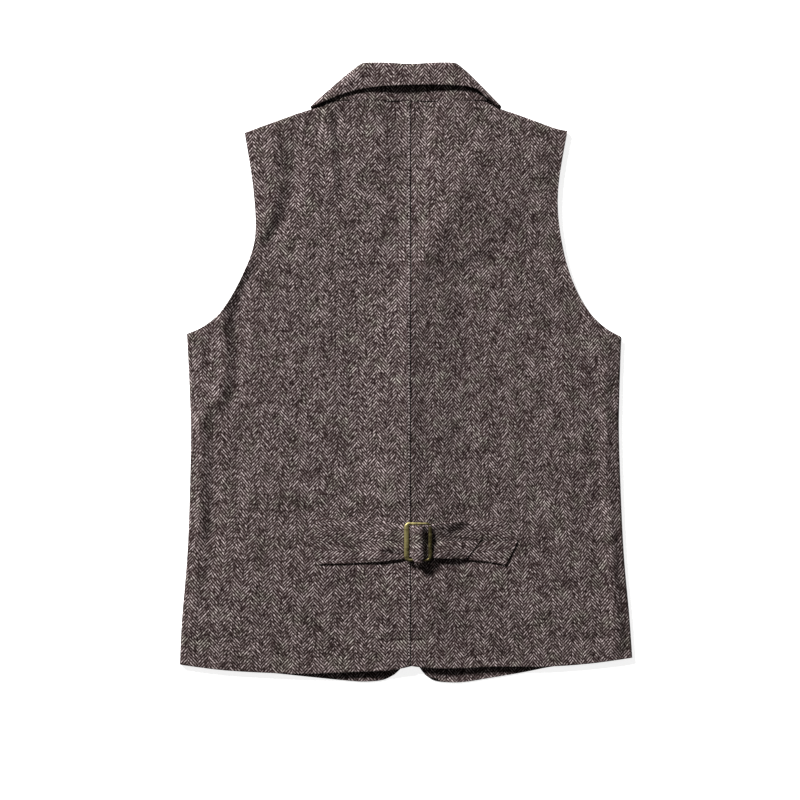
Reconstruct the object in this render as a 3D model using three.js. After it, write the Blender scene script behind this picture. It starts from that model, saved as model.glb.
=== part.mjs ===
// A herringbone tweed waistcoat, laid face down on a table with its back up.
// Units are millimetres. The table is the plane z = 0, +Y runs from hem to collar, +Z is up,
// and -X is the wearer's left. The origin is under the middle of the garment's outline.

import * as THREE from "three";

// Cloth and hardware

const CLOTH = 2;            // thickness of the tweed with its backing
const SEAM = 0.3;           // space left between two pieces at a seam, or one lying on another
const ROLL = 3.15;          // outer radius of the soft fold at a side or shoulder seam
const STACK = CLOTH + SEAM; // height that one more layer of cloth takes

// Driving sizes, measured on the flat garment

const SEAM_X = 6;           // centre back seam
const FRONT_X = 5.5;        // centre front, where the buttons are
const OVERLAP = 15;         // each front's edge passes the centre front by this much
const NECK_Y = 299.7;       // back neck seam, where the collar stand begins
const BREAK_Y = 105;        // the lapels turn out above this height
const PART_Y = -306;        // below this height the two fronts part
const ARMHOLE_INSET = 7;    // a front's armhole is cut further in than the back's, so it is hidden
const LAPEL_INSET = 1;      // a lapel starts this far from its roll line
const NECK_POINT = 0.55;    // the neck seam is straight for this share of its width

const BUTTON = {
  radius: 7.5, thickness: 3, rim: 0.8, dish: 0.8, dishEdge: 2.4, rimInside: 1.8, backEdge: 1.2,
  first: 45, pitch: -70, count: 5, facets: 18,
};

// Turns of the cloth at its edges, in degrees. A seam that lies open is a full quarter turn.

const TURN = {
  side: 90, armhole: 18, centreSeam: 24, backHem: 22, neck: 8, shoulder: 90, frontEdge: 12,
  frontHem: 12, lapel: 10, lapelFoot: 1,
};
const NECK_TO_SHOULDER = { share: 0.46, fade: 0.08 };
const SIDE_TO_ARMHOLE = { lead: 0.01, fade: 0.02 };

// How the layers under the back lift it. Each ridge climbs from its low end and to its high end
// over the lengths climbLow and climbHigh, and falls away beside the centre front over slope.

const LAPEL = {
  reach: [[60, -4], [BREAK_Y, 14], [140, 64], [190, 104], [229, 125], [260, 127], [305, 127]],
  beyond: 40, slope: 34, low: 60, climbLow: 45, slack: 0.2,
};
const BUTTON_RIDGE = {
  low: -300, climbLow: 45, high: BREAK_Y + 8, climbHigh: 40, half: 62, slope: 44,
};
const OVERLAP_RIDGE = {
  low: -345, climbLow: PART_Y + 343, high: BREAK_Y + 36, climbHigh: 34, half: 66, slope: 38,
};
const BACK_OVER_PLACKET = 0.6;  // the back spans the placket closely, so it rises less
const NECK_SAG = { depth: 4.3, low: 160, climbLow: 70, half: [[150, 8], [300, 46]], slope: 30 };
const FULLNESS = {
  height: 0.9, half: 235, slope: 70, low: -325, climbLow: 60, high: 290, climbHigh: 50,
};
const FOLD_LIMIT = { half: 238, slope: 14 };  // folds die out before the side seams

// How finely each form is divided

const GRID = {
  rollSteps: 3, sideRows: 9, armholeRows: 11, backColumns: 12, frontColumns: 11, crowding: 1.3,
  lapelRows: 6, lapelColumns: 3, collarAlong: 42, collarAcross: 12, strapAcross: 4,
  curvePoints: 24,
};

// Colours

const TWEED = { color: 0x645857, roughness: 0.95, metalness: 0 };
const BRASS = { color: 0x8a7d52, roughness: 0.38, metalness: 1 };
const HORN = { color: 0x3a2c26, roughness: 0.45, metalness: 0 };

// Outlines of one half, as points [x, y] from the bottom to the top or from the middle out.
// The garment doesn't lie quite evenly, so its two halves have their own points.

const HALF = {
  left: {
    side: [[-250.9, -324.1], [-248.6, -275.3], [-242, -192], [-238.7, -81], [-239.8, -25.5],
      [-243, 42.2]],
    armhole: [[-243, 42.2], [-225, 50.2], [-205, 66.5], [-187.6, 93.2], [-172, 128.8],
      [-166.5, 160], [-169.8, 208.7], [-178.7, 265.3]],
    shoulder: [[-178.7, 265.3], [-138.8, 279.7], [-114, 288.4], [-98, 290.6], [-85, 296.5]],
    backHem: [[SEAM_X, -325.6], [-17.8, -330.2], [-54.4, -331.9], [-112, -334.1],
      [-157.6, -333], [-205, -330], [-250.9, -324.1]],
    frontHem: [[-12.6, -335.6], [-25.5, -341.6], [-45.5, -343.3], [-65.5, -342], [-109.9, -337.4],
      [-157.6, -332.4], [-205, -329.2], [-250.9, -323.3]],
    frontEdge: [[-12.6, -335.6], [-5.6, -328.6], [0.5, -318], [9, -298], [16.5, -270],
      [FRONT_X + OVERLAP, -235], [FRONT_X + OVERLAP, 40], [18, 75], [5.2, BREAK_Y]],
    rollLine: [[5.2, BREAK_Y], [-16, 180], [-34, 252]],
    gorge: [[-34, 252], [-58, 274], [-85, 296.5]],
    lapelEdge: [[1, BREAK_Y - 1], [-45, 138], [-86, 190], [-106, 229]],
    lapelTop: [[-36, 250.5], [-70, 240], [-106, 229]],
  },
  right: {
    side: [[250.9, -316.4], [247.6, -270], [240.9, -192], [236.4, -81], [236.6, -25.5],
      [238.7, 38.9]],
    armhole: [[238.7, 38.9], [220.9, 49], [203, 66.5], [187.6, 93.2], [175.6, 128.8],
      [168.5, 173], [169.3, 212], [178.7, 267.5]],
    shoulder: [[178.7, 267.5], [164.5, 270.6], [138.8, 279.7], [114, 288.4], [99, 290.6],
      [89, 296.5]],
    backHem: [[SEAM_X, -325.6], [21, -327.2], [48.8, -328.2], [100, -326.2], [156.5, -326.2],
      [205, -322.8], [250.9, -316.4]],
    frontHem: [[22, -336.2], [31, -342.2], [46, -344.1], [64, -343.7], [88.8, -339.7],
      [128, -332.9], [164.3, -325.8], [205, -322], [250.9, -315.6]],
    frontEdge: [[22, -336.2], [15.5, -328.6], [10.8, -318], [3, -296], [-5.5, -268],
      [FRONT_X - OVERLAP, -235], [FRONT_X - OVERLAP, 40], [-7, 75], [5.8, BREAK_Y]],
    rollLine: [[5.8, BREAK_Y], [27, 180], [45, 252]],
    gorge: [[45, 252], [66, 274], [89, 296.5]],
    lapelEdge: [[10, BREAK_Y - 1], [56, 138], [97, 190], [117, 229]],
    lapelTop: [[47, 250.5], [81, 240], [117, 229]],
  },
};

// Largest folds of the back: a straight trough (depth above 0) or ridge (depth below 0).

const FOLDS = [
  { x: -133, y: 232, toX: -140, toY: 172, width: 15, depth: 1.6 },
  { x: -172, y: 98, toX: -196, toY: 10, width: 17, depth: 1.7 },
  { x: -79, y: 268, toX: -80, toY: 216, width: 13, depth: 1.1 },
  { x: 78, y: 215, toX: 18, toY: 112, width: 20, depth: -1.2 },
  { x: 150, y: 150, toX: 182, toY: 62, width: 16, depth: 1.2 },
  { x: -216, y: -120, toX: -212, toY: -215, width: 18, depth: 1.3 },
  { x: 222, y: -20, toX: 218, toY: -190, width: 14, depth: 1.1 },
  { x: -30, y: -232, toX: -76, toY: -300, width: 16, depth: 1.0 },
  { x: 118, y: -222, toX: 136, toY: -300, width: 18, depth: 1.1 },
];

// Lines along the collar, a row for each place from the end of its leaf, over the shoulder
// and on to the centre back. Columns are x on the left, x on the right, y and z.

const COLLAR = {
  neck: [[-34.6, 45.6, 253.2, 3.3], [-58.4, 66.4, 275.1, 3.3], [-76, 80, 290.6, 3.4],
    [-84.6, 88.6, 299.4, 4.2], [-85.2, 89.2, 300.6, 5.8], [-83, 87, 300.6, 7.4],
    [-48, 56, 300.2, 6.6], [SEAM_X, SEAM_X, 300.2, 4.1]],
  stand: [[-33.6, 44.6, 255.5, 3.4], [-41, 51, 284, 3.4], [-46.4, 55.4, 313, 3.4],
    [-50.2, 56.6, 332, 3.6], [-50.8, 57, 334.4, 4.3], [-50.2, 56.6, 334.6, 5],
    [-28, 37, 338.6, 5.2], [SEAM_X, SEAM_X, 336.6, 4.4]],
  roll: [[-32.4, 43.4, 255.2, 2.2], [-38, 48, 285, 2.2], [-42, 51, 315, 2.2],
    [-46.5, 53.2, 337.4, 2.6], [-48.2, 55, 340.8, 5.3], [-46, 53.2, 341.4, 8],
    [-26, 34, 341.8, 7.8], [SEAM_X, SEAM_X, 340.4, 6.9]],
  leaf: [[-37, 48, 254.8, 1], [-44, 54, 285, 1], [-50, 59, 314, 1],
    [-57, 63.6, 330, 1.4], [-59.4, 65.4, 333.4, 6], [-55, 61, 332.6, 10.4],
    [-28, 37, 338.4, 10.8], [SEAM_X, SEAM_X, 336.4, 9.6]],
  edge: [[-100, 111, 240, 1], [-107, 115, 262, 1], [-107, 110, 280, 1],
    [-104, 104, 289.8, 2.2], [-105.4, 104.8, 293.8, 6.9], [-100.4, 100, 295, 11.8],
    [-60, 82, 312.2, 12.6], [SEAM_X, SEAM_X, 318.6, 11]],
};

// Straps over the back, a row for each place along their middle, from the sewn tab inwards.
// Columns are x, height over the back, the y of the lower and upper edges, and the thickness.
// The left one goes under, over and under the buckle's bars and ends on the right one. Over the
// centre bar it bulges and covers the buckle's lower rail.
// The right one ends in a loop round the centre bar.

const STRAP = {
  left: [[-108.6, 1.6, -186, -183.4, 2], [-96.6, 1.6, -212.6, -162, 2],
    [-70, 1.6, -212, -161.6, 2], [-47.7, 1.7, -210.8, -161.8, 2], [-24, 1.7, -209.4, -166, 2],
    [-8, 1.7, -207, -169.4, 2], [2, 1.9, -204.8, -170.2, 2], [5, 3.2, -204.6, -170.4, 2],
    [7, 5.4, -204.6, -170.4, 2], [8.6, 8.1, -204.6, -170.4, 2],
    [10.8, 10.1, -209.4, -170.4, 2], [13.8, 10.7, -210.8, -170.4, 2],
    [17, 10.4, -209.2, -170.4, 2], [18.6, 9.4, -204.8, -170.4, 2],
    [20, 7.8, -204.6, -170.4, 2], [22.2, 5.6, -204.6, -170.4, 2], [24.4, 4.6, -204.8, -170, 2],
    [32, 4.4, -205.4, -168.4, 2], [45, 4.3, -206, -166.6, 2],
    [66.8, 4.2, -206.5, -165, 2], [83.8, 4.2, -184.4, -182, 2]],
  right: [[122.8, 1.7, -189, -186.2, 2], [110.4, 1.7, -213.6, -163.2, 2],
    [90, 1.7, -209.6, -163.8, 2], [68, 1.7, -207.6, -165.2, 2], [45, 1.7, -206.4, -167.4, 2],
    [32, 1.7, -205.6, -168.8, 2], [24, 1.8, -204.8, -170, 1.6], [18, 2.7, -204.6, -170.4, 1.2],
    [14, 3.8, -204.6, -170.4, 1.2], [11.1, 4.5, -204.6, -170.4, 1.2],
    [10.3, 6.2, -204.6, -170.4, 1.2], [11.2, 8, -204.6, -170.4, 1.2],
    [13.8, 8.5, -204.6, -170.4, 1.2], [16.4, 7.8, -204.6, -170.4, 1.2],
    [17.8, 5.8, -204.6, -170.4, 1.2]],
};

const BUCKLE = {
  x: 13.6, y: -187.6, width: 31.6, height: 42.2, bar: 5.5, rail: 3, centreBar: 3.4, thick: 2,
  corner: 4.5, slotCorner: 1, bevel: 0.5, tilt: 5, lift: 5.1,
};

// Small helpers

const clamp01 = (t) => Math.min(1, Math.max(0, t));
const ease = (t) => clamp01(t) ** 2 * (3 - 2 * clamp01(t));
const lerp = THREE.MathUtils.lerp;

// A smooth plan curve through points, with a corner wherever one list ends and the next begins.
function planCurve(...lists) {
  const path = new THREE.CurvePath();
  for (const list of lists) {
    path.add(new THREE.SplineCurve(list.map(([x, y]) => new THREE.Vector2(x, y))));
  }
  return path.getPoints(GRID.curvePoints);
}

// The point of a curve that is this share of the way along one coordinate, "x" or "y".
function pointAt(curve, axis, share) {
  const first = curve[0][axis];
  const last = curve[curve.length - 1][axis];
  const value = lerp(first, last, clamp01(share));
  const down = last < first;
  for (let i = 1; i < curve.length; i += 1) {
    const a = curve[i - 1];
    const b = curve[i];
    const reached = down ? b[axis] <= value : b[axis] >= value;
    if (reached || i === curve.length - 1) {
      const span = b[axis] - a[axis];
      const t = Math.abs(span) < 1e-9 ? 1 : clamp01((value - a[axis]) / span);
      return a.clone().lerp(b, t);
    }
  }
  return curve[0].clone();
}

// The value of a table of [place, value] rows at any place between its rows.
function readTable(rows, value) {
  let i = 1;
  while (i < rows.length - 1 && rows[i][0] < value) i += 1;
  const [from, a] = rows[i - 1];
  const [to, b] = rows[i];
  return lerp(a, b, ease((value - from) / (to - from)));
}

// Heights of the layers

// How far the cloth is lifted by the lapel and collar leaf that lie under a front.
function lapelLift(x, y, side) {
  const reach = readTable(LAPEL.reach, y) + LAPEL.beyond;
  const out = ease((reach - side * (x - FRONT_X)) / LAPEL.slope);
  return (STACK + LAPEL.slack) * out * ease((y - LAPEL.low) / LAPEL.climbLow);
}

// How much of a ridge down the centre front there is at a place, from 0 to 1.
function ridgeShare(x, y, ridge) {
  const low = ease((y - ridge.low) / ridge.climbLow);
  const high = ease((ridge.high - y) / ridge.climbHigh);
  return low * high * ease((ridge.half - Math.abs(x - FRONT_X)) / ridge.slope);
}

// Lift over the buttons.
function buttonLift(x, y) {
  return (BUTTON.thickness + SEAM) * ridgeShare(x, y, BUTTON_RIDGE);
}

// Extra lift of the right front, which lies on the left one where they overlap.
function overlapLift(x, y) {
  return (STACK + 2 * SEAM) * ridgeShare(x, y, OVERLAP_RIDGE);
}

// Height of the outer face of each front, which is the face on the table.
function frontHeight(x, y, side) {
  const lift = Math.max(lapelLift(x, y, side), buttonLift(x, y));
  return side > 0 ? lift + overlapLift(x, y) : lift;
}

// Distance of a point from the line along the middle of a fold.
function foldDistance(x, y, fold) {
  const dx = fold.toX - fold.x;
  const dy = fold.toY - fold.y;
  const t = clamp01(((x - fold.x) * dx + (y - fold.y) * dy) / (dx * dx + dy * dy));
  return Math.hypot(x - fold.x - t * dx, y - fold.y - t * dy);
}

// Height of the outer face of the back, which is the face that looks up.
function backHeight(x, y) {
  const side = Math.sign(x - FRONT_X) || 1;
  const placket = BACK_OVER_PLACKET * (buttonLift(x, y) + overlapLift(x, y));
  const under = Math.max(lapelLift(x, y, side), placket);
  const offCentre = Math.abs(x - FRONT_X);
  const sagWidth = ease((readTable(NECK_SAG.half, y) - offCentre) / NECK_SAG.slope);
  const neckSag = NECK_SAG.depth * ease((y - NECK_SAG.low) / NECK_SAG.climbLow) * sagWidth;
  const low = ease((y - FULLNESS.low) / FULLNESS.climbLow);
  const high = ease((FULLNESS.high - y) / FULLNESS.climbHigh);
  const middle = ease((FULLNESS.half - Math.abs(x)) / FULLNESS.slope);
  const fullness = FULLNESS.height * middle * low * high;
  const inside = ease((FOLD_LIMIT.half - Math.abs(x)) / FOLD_LIMIT.slope);
  let height = 2 * ROLL + SEAM + under - neckSag + fullness;
  for (const fold of FOLDS) {
    height -= inside * fold.depth * Math.exp(-((foldDistance(x, y, fold) / fold.width) ** 2));
  }
  return height;
}

// Closed walls

// Joins two equal grids of points, the two faces of a wall, round their four edges.
function closedWall(faceA, faceB) {
  const rows = faceA.length;
  const columns = faceA[0].length;
  const positions = [...faceA.flat(), ...faceB.flat()].flatMap((p) => p.toArray());
  const a = (j, i) => j * columns + i;
  const b = (j, i) => rows * columns + a(j, i);
  const index = [];
  const quad = (p, q, r, s) => index.push(p, q, r, p, r, s);
  for (let j = 1; j < rows; j += 1) {
    for (let i = 1; i < columns; i += 1) {
      quad(a(j - 1, i - 1), a(j - 1, i), a(j, i), a(j, i - 1));
      quad(b(j - 1, i - 1), b(j, i - 1), b(j, i), b(j - 1, i));
    }
  }
  for (let i = 1; i < columns; i += 1) {
    quad(a(0, i), a(0, i - 1), b(0, i - 1), b(0, i));
    quad(a(rows - 1, i - 1), a(rows - 1, i), b(rows - 1, i), b(rows - 1, i - 1));
  }
  for (let j = 1; j < rows; j += 1) {
    quad(a(j - 1, 0), a(j, 0), b(j, 0), b(j - 1, 0));
    quad(a(j, columns - 1), a(j - 1, columns - 1), b(j - 1, columns - 1), b(j, columns - 1));
  }
  return facingOut(positions, index);
}

// Turns the triangles round where they enclose a negative volume.
function facingOut(positions, index) {
  let volume = 0;
  const corner = (k) => new THREE.Vector3().fromArray(positions, 3 * index[k]);
  for (let k = 0; k < index.length; k += 3) {
    volume += corner(k).dot(corner(k + 1).cross(corner(k + 2)));
  }
  if (volume < 0) index.reverse();
  const geometry = new THREE.BufferGeometry();
  geometry.setAttribute("position", new THREE.Float32BufferAttribute(positions, 3));
  geometry.setIndex(index);
  geometry.computeVertexNormals();
  return geometry;
}

// Places across a panel: the two rolled edges, as [from the start, from the end], and between.
// A rolled edge turns through an angle in equal steps, so it is a true arc.
function stations(inner) {
  const steps = GRID.rollSteps;
  const list = [];
  for (let k = steps; k > 0; k -= 1) list.push({ edge: -1, turn: k / steps });
  for (const share of inner) list.push({ edge: 0, share });
  for (let k = 1; k <= steps; k += 1) list.push({ edge: 1, turn: k / steps });
  return list;
}

// Where a station lies on a line of this length, and how the cloth turns down there.
function placeAt(station, length, startAngle, endAngle) {
  const startWidth = ROLL * Math.sin(startAngle);
  const endWidth = ROLL * Math.sin(endAngle);
  if (station.edge === 0) {
    return { at: lerp(startWidth, length - endWidth, station.share) / length, angle: 0 };
  }
  const limit = station.edge < 0 ? startAngle : endAngle;
  const angle = limit * station.turn;
  const width = ROLL * (Math.sin(limit) - Math.sin(angle));
  return { at: station.edge < 0 ? width / length : 1 - width / length, angle };
}

// A panel of cloth: a patch between four plan curves, lifted to a height and turned at its edges.
function panel(spec) {
  const { inner, outer, bottom, top } = spec;
  const corners = [bottom[0], bottom[bottom.length - 1], top[0], top[top.length - 1]];
  const plan = (u, v) => {
    const low = pointAt(bottom, "x", u);
    const high = pointAt(top, "x", u);
    const near = pointAt(inner, "y", v);
    const far = pointAt(outer, "y", v);
    const mix = (axis) => {
      const flat = lerp(lerp(corners[0][axis], corners[1][axis], u),
        lerp(corners[2][axis], corners[3][axis], u), v);
      return lerp(low[axis], high[axis], v) + lerp(near[axis], far[axis], u) - flat;
    };
    return new THREE.Vector2(mix("x"), mix("y"));
  };
  const rows = stations(spec.rows);
  const columns = stations(spec.columns);
  const degrees = THREE.MathUtils.degToRad;
  const outerFace = [];
  const innerFace = [];
  for (const row of rows) {
    const roughV = row.edge === 0 ? row.share : (row.edge + 1) / 2;
    const outerRow = [];
    const innerRow = [];
    for (const column of columns) {
      const roughU = column.edge === 0 ? column.share : (column.edge + 1) / 2;
      const width = plan(0, roughV).distanceTo(plan(1, roughV));
      const height = plan(roughU, 0).distanceTo(plan(roughU, 1));
      const across = placeAt(column, width, degrees(spec.turn.inner(roughV)),
        degrees(spec.turn.outer(roughV)));
      const up = placeAt(row, height, degrees(spec.turn.bottom(roughU)),
        degrees(spec.turn.top(roughU)));
      const at = plan(across.at, up.at);
      const acrossWay = plan(across.at + 1e-3, up.at).sub(plan(across.at - 1e-3, up.at));
      const upWay = plan(across.at, up.at + 1e-3).sub(plan(across.at, up.at - 1e-3));
      acrossWay.normalize().multiplyScalar(column.edge);
      upWay.normalize().multiplyScalar(row.edge);
      const drop = ROLL * (1 - Math.cos(across.angle) * Math.cos(up.angle));
      const z = spec.height(at.x, at.y) - spec.face * drop;
      const slopeX = (spec.height(at.x + 1, at.y) - spec.height(at.x - 1, at.y)) / 2;
      const slopeY = (spec.height(at.x, at.y + 1) - spec.height(at.x, at.y - 1)) / 2;
      const level = Math.cos(across.angle) * Math.cos(up.angle);
      const normal = new THREE.Vector3(-slopeX, -slopeY, 1).multiplyScalar(spec.face * level);
      const lean = Math.cos(across.angle) * Math.sin(up.angle);
      normal.x += acrossWay.x * Math.sin(across.angle) + upWay.x * lean;
      normal.y += acrossWay.y * Math.sin(across.angle) + upWay.y * lean;
      normal.normalize();
      const point = new THREE.Vector3(at.x, at.y, z);
      outerRow.push(point);
      innerRow.push(point.clone().addScaledVector(normal, -CLOTH));
    }
    outerFace.push(outerRow);
    innerFace.push(innerRow);
  }
  return closedWall(outerFace, innerFace);
}

// Rows of a panel: even steps up the side seam, then closer ones round the armhole.
function rowShares(side, armhole) {
  const curve = planCurve(side, armhole);
  const low = curve[0].y;
  const rise = curve[curve.length - 1].y - low;
  const underarm = (side[side.length - 1][1] - low) / rise;
  const shares = [];
  const { sideRows, armholeRows } = GRID;
  for (let k = 0; k < sideRows; k += 1) shares.push((underarm * k) / sideRows);
  const hole = new THREE.SplineCurve(armhole.map(([x, y]) => new THREE.Vector2(x, y)));
  for (let k = 0; k <= armholeRows; k += 1) {
    shares.push((hole.getPointAt(k / armholeRows).y - low) / rise);
  }
  return { shares, underarm };
}

// Angle of the soft fold down an outer edge: a full turn at the side seam, little at the armhole.
function sideTurn(underarm) {
  const { lead, fade } = SIDE_TO_ARMHOLE;
  return (v) => lerp(TURN.side, TURN.armhole, ease((v - underarm + lead) / fade));
}

// Shares across a panel, a little closer together at its middle edge.
function crowded(count) {
  return evenShares(count).map((share) => share ** GRID.crowding);
}

// Pieces

function backPiece(name, half, side) {
  const { shares, underarm } = rowShares(half.side, half.armhole);
  const seamX = SEAM_X + (side * SEAM) / 2;
  const hem = half.backHem.map(([x, y], i) => [i === 0 ? seamX : x, y]);
  const neckEnd = half.shoulder[half.shoulder.length - 1];
  const neck = [[seamX, NECK_Y], [lerp(seamX, neckEnd[0], NECK_POINT), NECK_Y], neckEnd];
  return {
    inner: planCurve([hem[0], neck[0]]),
    outer: planCurve(half.side, half.armhole),
    bottom: planCurve(hem),
    top: planCurve(neck, [...half.shoulder].reverse()),
    rows: shares,
    columns: crowded(GRID.backColumns),
    face: 1,
    height: backHeight,
    turn: {
      inner: () => TURN.centreSeam,
      outer: sideTurn(underarm),
      bottom: () => TURN.backHem,
      top: (u) => {
        const share = ease((u - NECK_TO_SHOULDER.share) / NECK_TO_SHOULDER.fade);
        return lerp(TURN.neck, TURN.shoulder, share);
      },
    },
    name,
  };
}

function frontPiece(name, half, side) {
  const hole = half.armhole.map(([x, y], i) => {
    const share = i / (half.armhole.length - 1);
    return [x - side * ARMHOLE_INSET * Math.sin(Math.PI * share), y];
  });
  const { shares, underarm } = rowShares(half.side, hole);
  return {
    inner: planCurve(half.frontEdge, half.rollLine, half.gorge),
    outer: planCurve(half.side, hole),
    bottom: planCurve(half.frontHem),
    top: planCurve([...half.shoulder].reverse()),
    rows: shares,
    columns: crowded(GRID.frontColumns),
    face: -1,
    height: (x, y) => frontHeight(x, y, side),
    turn: {
      inner: () => TURN.frontEdge,
      outer: sideTurn(underarm),
      bottom: () => TURN.frontHem,
      top: () => TURN.shoulder,
    },
    name,
  };
}

function lapelPiece(name, half) {
  const start = half.rollLine[0];
  const inset = Math.sign(half.lapelEdge[0][0] - start[0]) * LAPEL_INSET;
  const fold = half.rollLine.map(([x, y], i) => [x + inset, i === 2 ? half.lapelTop[0][1] : y]);
  return {
    inner: planCurve(fold),
    outer: planCurve(half.lapelEdge),
    bottom: planCurve([fold[0], half.lapelEdge[0]]),
    top: planCurve([fold[2], ...half.lapelTop.slice(1)]),
    rows: evenShares(GRID.lapelRows),
    columns: evenShares(GRID.lapelColumns),
    face: -1,
    height: () => 0,
    turn: {
      inner: () => TURN.lapel,
      outer: () => TURN.lapel,
      bottom: () => TURN.lapelFoot,
      top: () => TURN.lapel,
    },
    name,
  };
}

function evenShares(count) {
  return Array.from({ length: count + 1 }, (_, i) => i / count);
}

// The collar: a stand and a leaf in one wall, folded at the roll line and wrapped round the neck.
function collarGeometry() {
  const lines = [COLLAR.neck, COLLAR.stand, COLLAR.roll, COLLAR.leaf, COLLAR.edge].map((rows) => {
    const left = rows.map(([x, , y, z]) => new THREE.Vector3(x, y, z));
    const right = rows.slice(0, -1).map(([, x, y, z]) => new THREE.Vector3(x, y, z));
    return new THREE.CatmullRomCurve3([...left, ...right.reverse()], false, "centripetal");
  });
  const { collarAlong: along, collarAcross: across } = GRID;
  const middle = [];
  for (let j = 0; j <= along; j += 1) {
    const knots = lines.map((line) => line.getPoint(j / along));
    const section = new THREE.CatmullRomCurve3(knots, false, "centripetal");
    middle.push(evenShares(across).map((t) => section.getPoint(t)));
  }
  return thickened(middle, middle.map(() => CLOTH));
}

// A wall made by moving a grid of points half its thickness to each side, row by row.
// Where it rests on the table it is pressed flat.
function thickened(middle, thicknesses) {
  const rows = middle.length;
  const columns = middle[0].length;
  const faces = [[], []];
  for (let j = 0; j < rows; j += 1) {
    const pair = [[], []];
    for (let i = 0; i < columns; i += 1) {
      const up = middle[Math.min(j + 1, rows - 1)][i].clone().sub(middle[Math.max(j - 1, 0)][i]);
      const right = middle[j][Math.min(i + 1, columns - 1)].clone();
      right.sub(middle[j][Math.max(i - 1, 0)]);
      const normal = right.cross(up).normalize();
      for (const way of [0, 1]) {
        const point = middle[j][i].clone();
        point.addScaledVector(normal, (0.5 - way) * thicknesses[j]);
        pair[way].push(point.setZ(Math.max(0, point.z)));
      }
    }
    faces[0].push(pair[0]);
    faces[1].push(pair[1]);
  }
  return closedWall(faces[0], faces[1]);
}

// A strap: its middle follows the back at the table's heights, its edges the table's y.
function strapGeometry(rows) {
  const across = evenShares(GRID.strapAcross);
  const middle = rows.map(([x, lift, yLow, yHigh]) => across.map((share) => {
    const y = lerp(yLow, yHigh, share);
    return new THREE.Vector3(x, y, backHeight(x, y) + lift);
  }));
  return thickened(middle, rows.map(([, , , , thickness]) => thickness));
}

// The buckle: a rectangular slide with a bar across its middle, tilted by the straps under it.
function buckleGeometry() {
  const { width, height, bar, rail, centreBar, thick, corner, slotCorner, bevel } = BUCKLE;
  const w = width / 2;
  const h = height / 2;
  const outline = roundedBox(-w, -h, w, h, corner);
  const slotIn = centreBar / 2;
  for (const [from, to] of [[-w + bar, -slotIn], [slotIn, w - bar]]) {
    outline.holes.push(roundedBox(from, -h + rail, to, h - rail, slotCorner));
  }
  return new THREE.ExtrudeGeometry(outline, {
    depth: thick - 2 * bevel,
    bevelThickness: bevel,
    bevelSize: bevel,
    bevelOffset: -bevel,
    bevelSegments: 1,
    curveSegments: 4,
  });
}

function roundedBox(left, low, right, high, radius) {
  const shape = new THREE.Shape();
  shape.moveTo(left + radius, low);
  shape.lineTo(right - radius, low);
  shape.absarc(right - radius, low + radius, radius, -Math.PI / 2, 0);
  shape.lineTo(right, high - radius);
  shape.absarc(right - radius, high - radius, radius, 0, Math.PI / 2);
  shape.lineTo(left + radius, high);
  shape.absarc(left + radius, high - radius, radius, Math.PI / 2, Math.PI);
  shape.lineTo(left, low + radius);
  shape.absarc(left + radius, low + radius, radius, Math.PI, 1.5 * Math.PI);
  return shape;
}

// A sew-on button, a disc with a raised rim round its face, which lies on the table.
function buttonGeometry() {
  const { radius, thickness, rim, dish, dishEdge, rimInside, backEdge, facets } = BUTTON;
  const profile = [[0, dish], [radius - dishEdge, dish], [radius - rimInside, 0],
    [radius - rim, 0], [radius, rim], [radius - backEdge, thickness], [0, thickness]];
  return new THREE.LatheGeometry(profile.map(([r, z]) => new THREE.Vector2(r, z)), facets)
    .rotateX(Math.PI / 2);
}

// Assembly

const waistcoat = new THREE.Group();

function addPiece(name, geometry, look) {
  const mesh = new THREE.Mesh(geometry, new THREE.MeshStandardMaterial(look));
  mesh.name = name;
  waistcoat.add(mesh);
  return mesh;
}

const panels = [
  backPiece("back_left", HALF.left, -1),
  backPiece("back_right", HALF.right, 1),
  frontPiece("front_left", HALF.left, -1),
  frontPiece("front_right", HALF.right, 1),
  lapelPiece("lapel_left", HALF.left),
  lapelPiece("lapel_right", HALF.right),
];
for (const spec of panels) addPiece(spec.name, panel(spec), TWEED);

addPiece("collar", collarGeometry(), TWEED);
addPiece("strap_left", strapGeometry(STRAP.left), TWEED);
addPiece("strap_right", strapGeometry(STRAP.right), TWEED);

const buckle = addPiece("buckle", buckleGeometry(), BRASS);
const buckleBase = backHeight(BUCKLE.x, BUCKLE.y);
buckle.position.set(BUCKLE.x, BUCKLE.y, buckleBase + BUCKLE.lift + BUCKLE.bevel);
buckle.rotation.y = -THREE.MathUtils.degToRad(BUCKLE.tilt);

for (let k = 0; k < BUTTON.count; k += 1) {
  const button = addPiece("button_" + (k + 1), buttonGeometry(), HORN);
  button.position.set(FRONT_X, BUTTON.first + k * BUTTON.pitch, 0);
}

export default waistcoat;
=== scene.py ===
# %% [markdown]
# A herringbone tweed waistcoat, laid face down on a white table, so that its back shows.
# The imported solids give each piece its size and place. Here each piece of cloth is made again
# as a finer wall on the same form, with the creases of a garment that was pressed and then
# handled, and the buckle and buttons get their real roundings. Shapes are worked out in
# millimetres with numpy and turned to metres when the mesh is made.

# %% Load the frame

import math

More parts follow.
